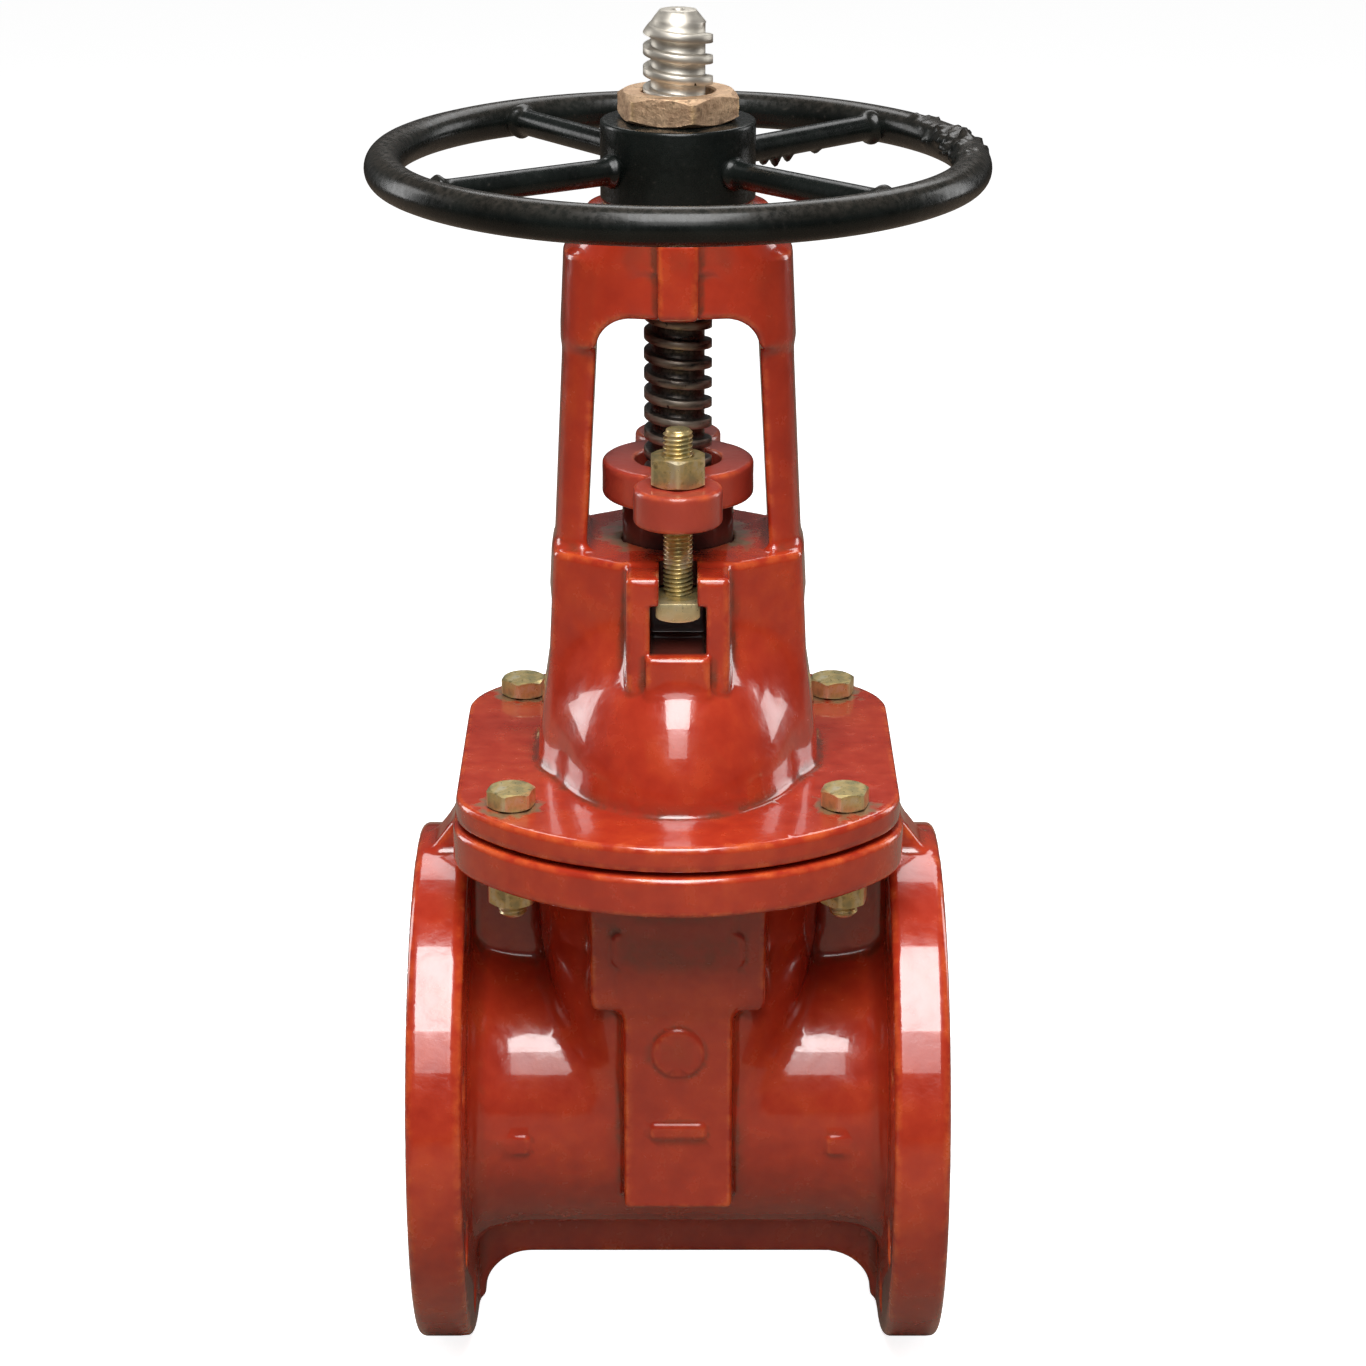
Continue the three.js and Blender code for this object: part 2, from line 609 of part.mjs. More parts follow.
function bonnetGasket() {
  const inner = { halfX: 52, halfY: 78 };
  const width = { x: 12, y: 10 };
  const low = BODY_FLANGE_TOP_Z + GAP;
  return cut(
    ovalBlock(inner.halfX + width.x, inner.halfY + width.y, low, low + GASKET_THICK, 2.4),
    ovalBlock(inner.halfX, inner.halfY, low - 1, low + GASKET_THICK + 1, 2.4),
  );
}

// ---------------------------------------------------------------------------------------------
// Wedge and stem
// ---------------------------------------------------------------------------------------------

// The wedge's outline seen along the pipe, cut to a sloping slab. inset shrinks it all round.
function wedgeBlock(inset) {
  const radius = WEDGE_R - inset;
  const top = WEDGE_TOP_Z - inset;
  const shoulder = 26;
  const shape = new THREE.Shape();
  shape.absarc(0, 0, radius, Math.PI, 2 * Math.PI);
  shape.lineTo(radius, top - shoulder);
  shape.lineTo(radius - shoulder, top);
  shape.lineTo(-radius + shoulder, top);
  shape.lineTo(-radius, top - shoulder);
  const disc = common(uprightYZ(shape, WEDGE_R, 16), wedgeSlab(-inset));
  const lugX = 5.5 - inset / 2;
  const lugY = GUIDE_CHANNEL_Y - 1.5 - inset;
  const lugLow = -12 + inset;
  const lugHigh = 24 - inset;
  const lugs = block([-lugX, -lugY, lugLow], [lugX, lugY, lugHigh]);
  return join(disc, lugs);
}

const pinHole = () => alongY(rod(WEDGE_PIN_R + GAP, -WEDGE_R, WEDGE_R, 16)).translate(0, 0, WEDGE_PIN_Z);

function wedgeCore() {
  const hub = rod(WEDGE_HUB_R, WEDGE_TOP_Z - RUBBER_THICK - GAP, HUB_TOP_Z, 24);
  const socket = rod(STEM_TIP_R + GAP, STEM_TIP_Z - 0.5, HUB_TOP_Z + 5, 24);
  return cut(join(wedgeBlock(RUBBER_THICK + GAP), hub), socket, pinHole());
}

const wedgeRubber = () => cut(
  wedgeBlock(0),
  wedgeBlock(RUBBER_THICK),
  rod(WEDGE_HUB_R + GAP, WEDGE_TOP_Z - RUBBER_THICK - 1, HUB_TOP_Z, 24),
);

// The pin stops short of the hub's outside at both ends.
function wedgePin() {
  const halfLength = WEDGE_HUB_R - 1.5;
  return alongY(rod(WEDGE_PIN_R, -halfLength, halfLength, 16)).translate(0, 0, WEDGE_PIN_Z);
}

function stem() {
  const collarLow = HUB_TOP_Z + GAP;
  const collarHigh = collarLow + STEM_COLLAR_THICK;
  const shaft = turned([
    [0, STEM_TIP_Z], [STEM_TIP_R - 1, STEM_TIP_Z], [STEM_TIP_R, STEM_TIP_Z + 1],
    [STEM_TIP_R, collarLow], [STEM_COLLAR_R, collarLow], [STEM_COLLAR_R, collarHigh],
    [STEM_R, collarHigh], [STEM_R, THREAD_BOTTOM_Z], [0, THREAD_BOTTOM_Z],
  ], TURN_STEPS);
  const thread = threadedBar(
    STEM_ROOT_R, STEM_R, RIDGE_ROOT_WIDTH, RIDGE_CREST_WIDTH,
    THREAD_START_Z, STEM_TOP_Z + 2 * THREAD_PITCH,
  );
  const envelope = turned([
    [0, THREAD_BOTTOM_Z - 1], [STEM_R + 1, THREAD_BOTTOM_Z - 1],
    [STEM_R + 1, STEM_TOP_Z - STEM_CHAMFER], [STEM_R, STEM_TOP_Z - STEM_CHAMFER],
    [STEM_TOP_R, STEM_TOP_Z], [0, STEM_TOP_Z],
  ], TURN_STEPS);
  const drillR = 3.2;
  const drillDepth = 6;
  const centreDrill = turned([
    [0, STEM_TOP_Z - drillDepth], [drillR / 2, STEM_TOP_Z - drillDepth + 2],
    [drillR, STEM_TOP_Z + 1], [0, STEM_TOP_Z + 1],
  ], 12);
  return cut(join(shaft, common(thread, envelope)), centreDrill, pinHole());
}

// ---------------------------------------------------------------------------------------------
// Stem seal: backseat bushing, packing rings, gland and its bolts
// ---------------------------------------------------------------------------------------------

// The bushing fills the stem hole, and its flange under the hole is what the open stem seals on.
function backseatBushing() {
  const innerR = STEM_R + GAP;
  const outerR = STEM_HOLE_R - GAP;
  const flangeR = 21.5;
  const flangeTop = CAVITY_TOP_Z - GAP;
  const low = flangeTop - 2.9;
  const top = BOX_FLOOR_Z - GAP;
  return turned([
    [innerR, low], [flangeR, low], [flangeR, flangeTop], [outerR, flangeTop],
    [outerR, top], [innerR, top], [innerR, low],
  ], TURN_STEPS);
}

function packingRing(index) {
  const low = BOX_FLOOR_Z + 0.2 + index * (PACKING_HEIGHT + GAP);
  return tube(STEM_R + GAP, PACKING_R, low, low + PACKING_HEIGHT, 20);
}

function gland() {
  const atBolts = (radius, low, high, steps) =>
    [-1, 1].map((side) => rod(radius, low, high, steps).translate(0, side * GLAND_BOLT_Y, 0));
  const plate = join(
    rod(GLAND_SIDE_R, GLAND_BOTTOM_Z, GLAND_TOP_Z),
    ...atBolts(GLAND_LOBE_R, GLAND_BOTTOM_Z, GLAND_TOP_Z, 24),
  );
  const nose = rod(PACKING_R, GLAND_NOSE_Z, GLAND_BOTTOM_Z + 1);
  const holes = atBolts(GLAND_BOLT_R + 1, GLAND_BOTTOM_Z - 1, GLAND_TOP_Z + 1, 16);
  const stemHole = rod(STEM_R + 1, GLAND_NOSE_Z - 1, GLAND_TOP_Z + 1, 24);
  const mouth = rod(GLAND_MOUTH_R, GLAND_MOUTH_FLOOR_Z, GLAND_TOP_Z + 1);
  return cut(join(plate, nose), ...holes, stemHole, mouth);
}

// A T-head bolt: its head hooks under the pad's lips, and its shank passes up through the gland.
// The head is flat on top, round below, and longer towards the pad's front. Side is -1 or 1.
function glandBolt(side) {
  const { halfX, length, innerY, height } = TEE_HEAD;
  const headY = side * (innerY + length / 2 - GLAND_BOLT_Y);
  const top = HEAD_POCKET_TOP_Z - GAP;
  const sideLow = top - height + 3;
  const tip = GLAND_BOLT_TIP_Z;
  const head = new THREE.Shape();
  head.moveTo(halfX, top);
  head.lineTo(-halfX, top);
  head.lineTo(-halfX, sideLow);
  head.quadraticCurveTo(0, sideLow - 6, halfX, sideLow);
  const shank = turned([
    [0, top - 1], [GLAND_BOLT_R, top - 1], [GLAND_BOLT_R, tip - 1.2], [GLAND_BOLT_R - 1, tip], [0, tip],
  ], 12);
  return join(uprightXZ(head, length / 2, 8).translate(0, headY, 0), shank);
}

// A hexagon nut with its corners eased, on a bolt of the given radius.
function hexNut(acrossFlats, boltR, low, height, turn) {
  const cornerR = hexCornerR(acrossFlats);
  const faceR = acrossFlats / 2 - 0.5;
  const ease = (cornerR - faceR) * Math.tan(30 * DEG);
  const roundOff = turned([
    [0, low], [faceR, low], [cornerR, low + ease], [cornerR, low + height - ease], [faceR, low + height],
    [0, low + height],
  ], 18);
  const blank = common(raised(hexagon(acrossFlats, turn), low, low + height), roundOff);
  return cut(blank, rod(boltR + GAP, low - 1, low + height + 1, 12));
}

const glandNut = () =>
  hexNut(GLAND_NUT_FLATS, GLAND_BOLT_R, GLAND_TOP_Z + GAP, GLAND_NUT_HEIGHT, 30 * DEG);

// ---------------------------------------------------------------------------------------------
// Bonnet bolts and nuts
// ---------------------------------------------------------------------------------------------

function bonnetBolt() {
  const low = BONNET_FLANGE_TOP_Z + GAP;
  const high = low + 7.9;
  const tip = BONNET_BOLT_TIP_Z;
  const cornerR = hexCornerR(BONNET_BOLT_FLATS);
  const faceR = BONNET_BOLT_FLATS / 2 - 0.6;
  const roundOff = turned([[0, low], [cornerR, low], [cornerR, high - 1.4], [faceR, high], [0, high]], 18);
  const head = common(raised(hexagon(BONNET_BOLT_FLATS, 15 * DEG), low, high), roundOff);
  const shank = turned([
    [0, tip], [BONNET_BOLT_R - 1.2, tip], [BONNET_BOLT_R, tip + 1.4],
    [BONNET_BOLT_R, low + 1], [0, low + 1],
  ], 12);
  return join(head, shank);
}

function bonnetNut() {
  const low = BODY_FLANGE_BOTTOM_Z - GAP - BONNET_NUT_HEIGHT;
  return hexNut(BONNET_BOLT_FLATS, BONNET_BOLT_R, low, BONNET_NUT_HEIGHT, 20 * DEG);
}

// ---------------------------------------------------------------------------------------------
// Handwheel and the yoke nut that it turns
// ---------------------------------------------------------------------------------------------

// The bronze yoke nut: its flange runs in the recess under the yoke's head, and its sleeve comes up
// through the yoke and the handwheel. Only its upper part is threaded to the stem.
function yokeNut() {
  const low = YOKE_NUT_LOW_Z;
  const flangeTop = low + YOKE_NUT_FLANGE_THICK;
  const shoulder = HUB_WHEEL_TOP_Z - 2;
  const shell = turned([
    [0, low], [YOKE_NUT_FLANGE_R, low], [YOKE_NUT_FLANGE_R, flangeTop], [YOKE_NUT_R, flangeTop],
    [YOKE_NUT_R, shoulder], [YOKE_NUT_NECK_R, shoulder], [YOKE_NUT_NECK_R, YOKE_NUT_TOP_Z],
    [0, YOKE_NUT_TOP_Z],
  ], TURN_STEPS * 2);
  const reliefBore = rod(STEM_R + 1, low - 1, YOKE_NUT_THREAD_LOW_Z, TURN_STEPS);
  // The groove follows the stem's own ridge, so it starts whole turns above the stem's thread.
  const play = 0.7;
  const groove = threadedBar(
    STEM_ROOT_R + 1, STEM_R + 0.8, RIDGE_ROOT_WIDTH + play, RIDGE_CREST_WIDTH + play,
    THREAD_START_Z + 12 * THREAD_PITCH, YOKE_NUT_TOP_Z + 2 * THREAD_PITCH,
  );
  const threaded = rod(STEM_R + 2, YOKE_NUT_THREAD_LOW_Z - 1, YOKE_NUT_TOP_Z + 1, TURN_STEPS);
  return cut(shell, reliefBore, common(groove, threaded), keySlot());
}

const keySlot = () => block(
  [YOKE_NUT_R - KEY_DEPTH, -KEY_HALF_WIDTH - GAP, HUB_BOTTOM_Z + 2],
  [YOKE_NUT_R + KEY_DEPTH, KEY_HALF_WIDTH + GAP, HUB_WHEEL_TOP_Z + 1],
);

const wheelKey = () => block(
  [YOKE_NUT_R - KEY_DEPTH + GAP, -KEY_HALF_WIDTH, HUB_BOTTOM_Z + 3],
  [YOKE_NUT_R + KEY_DEPTH - GAP, KEY_HALF_WIDTH, HUB_WHEEL_TOP_Z - 2.5],
);

const thrustWasher = () => tube(YOKE_NUT_R + GAP, HUB_R - 1, YOKE_TOP_Z + GAP, HUB_BOTTOM_Z - GAP);

function wheelHub() {
  const edge = 2;
  const blank = turned([
    [0, HUB_BOTTOM_Z], [HUB_R - edge, HUB_BOTTOM_Z], [HUB_R, HUB_BOTTOM_Z + edge],
    [HUB_R, HUB_WHEEL_TOP_Z - edge], [HUB_R - edge, HUB_WHEEL_TOP_Z], [0, HUB_WHEEL_TOP_Z],
  ], 32);
  return cut(blank, rod(YOKE_NUT_R + GAP, HUB_BOTTOM_Z - 1, HUB_WHEEL_TOP_Z + 1), keySlot());
}

const rimRing = (barR) => new THREE.TorusGeometry(RIM_R, barR, 10, 48).translate(0, 0, RIM_Z);

const wheelRim = () => rimRing(RIM_BAR_R);

function wheelSpoke(degrees) {
  const bar = alongX(rod(SPOKE_BAR_R, HUB_R - 5, RIM_R, 12));
  const turnedBar = bar.translate(0, 0, RIM_Z).rotateZ(degrees * DEG);
  const hubRoom = rod(HUB_R + GAP, HUB_BOTTOM_Z, HUB_WHEEL_TOP_Z);
  return cut(turnedBar, hubRoom, rimRing(RIM_BAR_R + GAP));
}

// The wheel nut holds the hub down. It is bored out below for the top of the yoke nut.
function wheelNut() {
  const low = HUB_WHEEL_TOP_Z + GAP;
  const blank = hexNut(WHEEL_NUT_FLATS, STEM_R + 0.8, low, WHEEL_NUT_HEIGHT, 43.5 * DEG);
  return cut(blank, rod(YOKE_NUT_NECK_R + GAP, low - 1, YOKE_NUT_TOP_Z + GAP));
}

// ---------------------------------------------------------------------------------------------
// The assembly
// ---------------------------------------------------------------------------------------------

const valve = new THREE.Group();
valve.position.z = FLANGE_R;

function addPiece(name, shape, material, position = [0, 0, 0]) {
  const mesh = new THREE.Mesh(geometryFrom(shape), material);
  mesh.name = name;
  mesh.position.set(...position);
  valve.add(mesh);
}

addPiece('valve_body', valveBody(), redEnamel());
addPiece('bonnet_yoke', bonnet(), redEnamel());
addPiece('bonnet_gasket', bonnetGasket(), gasketSheet());
BOLT_CORNERS.forEach(([x, y], i) => {
  addPiece(`bonnet_bolt_${i + 1}`, bonnetBolt(), zincPlate(), [x, y, 0]);
  addPiece(`bonnet_nut_${i + 1}`, bonnetNut(), zincPlate(), [x, y, 0]);
});

addPiece('wedge_core', wedgeCore(), ironCore());
addPiece('wedge_rubber', wedgeRubber(), blackRubber());
addPiece('wedge_pin', wedgePin(), stainless());
addPiece('stem', stem(), stainless());

addPiece('backseat_bushing', backseatBushing(), bronze());
for (let i = 0; i < PACKING_RINGS; i += 1) {
  addPiece(`packing_ring_${i + 1}`, packingRing(i), packingBraid());
}
addPiece('gland', gland(), redEnamel());
[['front', -1], ['back', 1]].forEach(([place, side]) => {
  addPiece(`gland_bolt_${place}`, glandBolt(side), zincPlate(), [0, side * GLAND_BOLT_Y, 0]);
  addPiece(`gland_nut_${place}`, glandNut(), zincPlate(), [0, side * GLAND_BOLT_Y, 0]);
});

addPiece('yoke_nut', yokeNut(), bronze());
addPiece('thrust_washer', thrustWasher(), bronze());
addPiece('wheel_key', wheelKey(), stainless());
addPiece('wheel_hub', wheelHub(), blackEnamel());
addPiece('wheel_rim', wheelRim(), blackEnamel());
SPOKE_DIRECTIONS.forEach((degrees, i) => {
  addPiece(`wheel_spoke_${i + 1}`, wheelSpoke(degrees), blackEnamel());
});
addPiece('wheel_nut', wheelNut(), bronze());

export default valve;
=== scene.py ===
"""Looks of a 4-inch OS&Y gate valve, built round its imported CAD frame.

Shapes are worked out in millimetres measured from the pipe axis, as the CAD is, and every mesh is
made in metres in the CAD's own frame. The castings, the wheel and the wedge are distance fields:
a function gives the distance from the surface at each point of a grid, round joins and round edges
come from the way two distances are combined, and the grid's zero level becomes the mesh.
"""

import math
import random

import bmesh
import bpy
import numpy as np
import openvdb
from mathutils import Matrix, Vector, noise


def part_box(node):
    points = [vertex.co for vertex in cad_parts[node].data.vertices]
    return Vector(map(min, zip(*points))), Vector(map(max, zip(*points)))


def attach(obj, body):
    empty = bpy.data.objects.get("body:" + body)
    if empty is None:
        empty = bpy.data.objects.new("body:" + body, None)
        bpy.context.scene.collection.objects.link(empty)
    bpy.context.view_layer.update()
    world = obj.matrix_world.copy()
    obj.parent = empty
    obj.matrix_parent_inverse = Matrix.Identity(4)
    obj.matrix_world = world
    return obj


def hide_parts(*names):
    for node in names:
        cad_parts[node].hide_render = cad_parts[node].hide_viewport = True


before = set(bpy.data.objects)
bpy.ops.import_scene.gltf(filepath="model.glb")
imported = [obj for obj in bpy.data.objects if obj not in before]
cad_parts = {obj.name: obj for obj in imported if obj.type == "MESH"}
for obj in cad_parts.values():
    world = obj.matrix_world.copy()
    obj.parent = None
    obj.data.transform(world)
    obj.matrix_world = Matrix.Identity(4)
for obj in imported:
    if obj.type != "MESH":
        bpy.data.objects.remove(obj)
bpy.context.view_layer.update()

# ---- Sizes, in millimetres from the pipe axis unless a comment says otherwise ----

MM = 0.001
GAP = 0.3  # clearance that touching pieces keep
CAST_STEP = 1.0  # grid step of the two big castings
CAST_FLATTEN = 0.035  # how readily their mesh merges faces where it is nearly flat
ROUND = 96  # points round a turned piece

FLANGE_R = 114.3
FLANGE_FACE_X = 114.3
FLANGE_BACK_X = 90.5
BORE_R = 50.8
FLANGE_HOLE_R = 9.5
FLANGE_HOLE_CIRCLE_R = 95.25
FLANGE_EDGE = 3.5
BARREL_R = 64
FLANGE_FLARE = 6  # the barrel swells by this much where it meets a flange
POCKET_R = 57.5
SEAT_RING_R = 59
CHAMBER_HALF_X = 45.7  # at the pipe axis; it grows with height
CHAMBER_TAPER = 0.186
CHAMBER_TAPER_TOP_Z = 80
CHAMBER_LOW_Z = -10
CHAMBER_FRONT_Y = 66
CHAMBER_NECK_Z = (88, 128)  # where the chamber spreads to meet the bonnet joint
CHAMBER_NECK_SPREAD_X = 4
CHAMBER_NECK_FRONT_Y = 80
RIB_HALF_X = 23
RIB_FRONT_Y = 71
RIB_ROOT_Y = 40
RIB_BOTTOM_Z = -29
HEAD_PLATE_HALF_X = 37
HEAD_PLATE_BOTTOM_Z = 63
CHANNEL_HALF_X = 7
CHANNEL_Y = 64.5
KEEL_Z = -84.6
KEEL_HALF_Y = 7
KEEL_CURVE_R = 22
GUSSET_HALF_Y = 12
GUSSET_X = (50, 108)
GUSSET_Z = (40, 131)
GUSSET_EDGE_XZ = (95, 131)  # the web's sloping edge passes here
GUSSET_RUN = 13.5  # the slope's run and fall
GUSSET_FALL = 18
PAD_PROUD = 1.1

BODY_FLANGE_LOW_Z = 127.3
BODY_FLANGE_TOP_Z = 144.6
BONNET_LOW_Z = 146.4
BONNET_FLANGE_TOP_Z = 157.7
BONNET_BOLT_XY = 69.4
BONNET_HOLE_R = 7
JOINT_SIDE_X = 93.5
JOINT_CORNER_R = 40
JOINT_FRONT_Y = 117
JOINT_FRONT_R = 109

DOME_HALF = (57, 85, 78)
DOME_BASE_Z = 155.7
DOME_WALL = 8.5
CAVITY_HALF_Z = 68
CAVITY_TOP_Z = 200.2
TOWER_FLAT_HALF_X = 22
TOWER_FRONT_Y = 42
TOWER_SLANT = 19  # how far the tower's corners are cut back towards the legs
PAD_HALF_X = 21.5
PAD_FRONT_Y = 61.5
PAD_LOW_Z = 205
LEDGE_HALF_X = 13.5
LEDGE_FRONT_Y = 65
LEDGE_LOW_Z = 203
DECK_Z = 254
BOX_FLOOR_Z = 208
LEDGE_TOP_Z = 221
POCKET_TOP_Z = 242
POCKET_HALF_X = 11.5
POCKET_BACK_Y = 31.5
SLOT_HALF_X = 7.8
SLOT_BACK_Y = 33.5
STEM_HOLE_R = 19.3
LEG_HALF_Y = 25
YOKE_HALF_X = 57.2  # at YOKE_LOW_Z; the legs lean in by YOKE_LEAN for each mm of height
YOKE_LOW_Z = 152
YOKE_LEAN = 0.0478
WINDOW_HALF_X = 33.8  # at WINDOW_SHOULDER_Z; it grows by WINDOW_LEAN for each mm below
WINDOW_SHOULDER_Z = 339
WINDOW_LEAN = 0.0532
WINDOW_CORNER_R = 14
WINDOW_TOP_Z = 356
YOKE_SHOULDER_Z = 379
YOKE_SHOULDER_HALF_X = 46.3
YOKE_SHOULDER_HALF_Y = 36
YOKE_HEAD_TOP_Z = 391
YOKE_TOP_Z = 397
BOSS_R = 38
NOSE_RIB_HALF_X = 8.3
NOSE_RIB_FRONT_Y = 40
NUT_RECESS_R = 27.3
NUT_RECESS_TOP_Z = 364

STEM_R = 14.29
STEM_ROOT_R = 11.2
STEM_PITCH = 25.4 / 3
STEM_TIP_R = 12.7
STEM_THREAD_LOW_Z = 264
STEM_THREAD_START_Z = 245  # the ridge's middle crosses the +X side at this height
STEM_TOP_Z = 476.8
STEM_TOP_R = 7.5
STEM_CHAMFER = 8.5
STEM_RUN_OUT = 1.2  # height over which the thread fades in above the shank
STEM_TIP_Z = 44
COLLAR_LOW_Z = 80.3
COLLAR_R = 18
COLLAR_THICK = 6

WEDGE_R = 54.5
WEDGE_HALF_X = 17.3
WEDGE_SLOPE = 0.0875
WEDGE_TOP_Z = 50
WEDGE_SHOULDER = 26  # how far the disc's upper corners are cut back
WEDGE_EDGE = 3
LUG_HALF_X = 5.5
LUG_Z = (-12, 24)
RUBBER_THICK = 4.5
WEDGE_HUB_R = 19.5
WEDGE_HUB_TOP_Z = 80
WEDGE_SOCKET_Z = 43.5
WEDGE_PIN_Z = 65
WEDGE_PIN_HOLE_R = 5.05

PACKING_R = 23.6
PACKING_RINGS = 4
PACKING_RING_HEIGHT = 9.2
PACKING_RING_STEP = 9.5
BUSHING_R = 19
BUSHING_LOW_Z = 197
GLAND_NOSE_Z = 246.3
GLAND_LOW_Z = 272.7
GLAND_TOP_Z = 288.5
GLAND_BOLT_Y = 40.2
GLAND_LOBE_R = 18.5
GLAND_LOBE_Y = 43
GLAND_SIDE_R = 32
GLAND_MOUTH_R = 18.3
GLAND_MOUTH_Z = 276
GLAND_BOLT_HOLE_R = 7.2
GLAND_BOLT_R = 6.2
GLAND_BOLT_PITCH = 1.9
GLAND_BOLT_TIP_Z = 312
GLAND_NUT_FLATS = 22.2
GLAND_NUT_HEIGHT = 12.3
TEE_HEAD_HALF_X = 9.3
TEE_HEAD_Y = (33.2, 56)
TEE_HEAD_TOP_Z = 241.7
TEE_HEAD_HEIGHT = 8.4

BONNET_BOLT_R = 6
BONNET_BOLT_PITCH = 1.75
BONNET_BOLT_FLATS = 18.5
BONNET_BOLT_HEAD = 7.9
BONNET_BOLT_TIP_Z = 109.2
BONNET_NUT_HEIGHT = 12.2

YOKE_NUT_LOW_Z = 358
YOKE_NUT_THREAD_LOW_Z = 376
YOKE_NUT_TOP_Z = 440.8
YOKE_NUT_FLANGE_R = 26.8
YOKE_NUT_FLANGE_THICK = 5.7
YOKE_NUT_NECK_R = 18
YOKE_NUT_ROOM = 0.6  # from the crest of its thread to the root of the stem's
KEY_HALF_WIDTH = 3
KEY_DEPTH = 3  # into the nut, and the same into the hub
YOKE_NUT_R = 20
WHEEL_Z = 414
HUB_R = 32
HUB_LOW_Z = 399.3
HUB_TOP_Z = 432.3
RIM_R = 120.9
RIM_BAR_R = 8.1
SPOKE_BAR_R = 5.5
SPOKE_DIRECTIONS = (43, 127, 213, 315)  # degrees, anticlockwise from +X seen from above
RIM_WELD_DIRECTION = 12
WHEEL_NUT_FLATS = 46
WHEEL_NUT_HEIGHT = 11.5
WHEEL_NUT_TURN = 43.5  # degrees from +X to a corner

AXIS_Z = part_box("valve_body")[0].z + FLANGE_R * MM  # height of the pipe axis in the frame, in metres


# ---- Distance fields ----


def joined(a, b, fillet=0.0):
    """Both shapes together, with a round inside corner where they meet."""
    if fillet == 0:
        return np.minimum(a, b)
    corner = np.hypot(np.maximum(fillet - a, 0), np.maximum(fillet - b, 0))
    return np.maximum(fillet, np.minimum(a, b)) - corner


def shared(a, b, edge=0.0):
    """What two shapes share, with a round outside edge where their faces meet."""
    return -joined(-a, -b, edge)


def without(a, b, edge=0.0):
    """Shape a with shape b cut out of it."""
    return shared(a, -b, edge)


def slab(v, low, high):
    """Distance from the space between two parallel planes."""
    return np.maximum(low - v, v - high)


def bolt_hole(x, y):
    """Distance from a bonnet bolt's hole, which runs up and down."""
    return np.hypot(x - BONNET_BOLT_XY, y - BONNET_BOLT_XY) - BONNET_HOLE_R


def oval(x, y, a, b, power):
    """Distance from an oval with half widths a and b, squarer at a higher power."""
    u = np.abs(x) / a
    v = np.abs(y) / b
    size = np.maximum((u**power + v**power) ** (1 / power), 1e-6)
    slope = np.hypot((u / size) ** (power - 1) / a, (v / size) ** (power - 1) / b)
    return (size - 1) / slope


def ellipsoid(x, y, z, half):
    """Nearly the distance from an egg shape with those three half widths."""
    size = np.sqrt((x / half[0]) ** 2 + (y / half[1]) ** 2 + (z / half[2]) ** 2)
    slope = np.sqrt((x / half[0] ** 2) ** 2 + (y / half[1] ** 2) ** 2 + (z / half[2] ** 2) ** 2)
    return size * (size - 1) / np.maximum(slope, 1e-9)


def joint_outline(x, y, grow):
    """The bonnet joint's outline: flat sides, a wide arc at front and back, and round corners."""
    side_x = JOINT_SIDE_X + grow
    corner_r = JOINT_CORNER_R + grow
    front_r = JOINT_FRONT_R + grow
    corner_x = side_x - corner_r
    front_centre_y = JOINT_FRONT_Y + grow - front_r
    corner_y = front_centre_y + math.sqrt((front_r - corner_r) ** 2 - corner_x**2)
    x, y = np.abs(x), np.abs(y)
    corner = np.hypot(x - corner_x, y - corner_y) - corner_r
    front = np.hypot(x, y - front_centre_y) - front_r
    on_front = x * (corner_y - front_centre_y) < corner_x * (y - front_centre_y)
    return np.where(on_front, front, np.where(y < corner_y, x - side_x, corner))


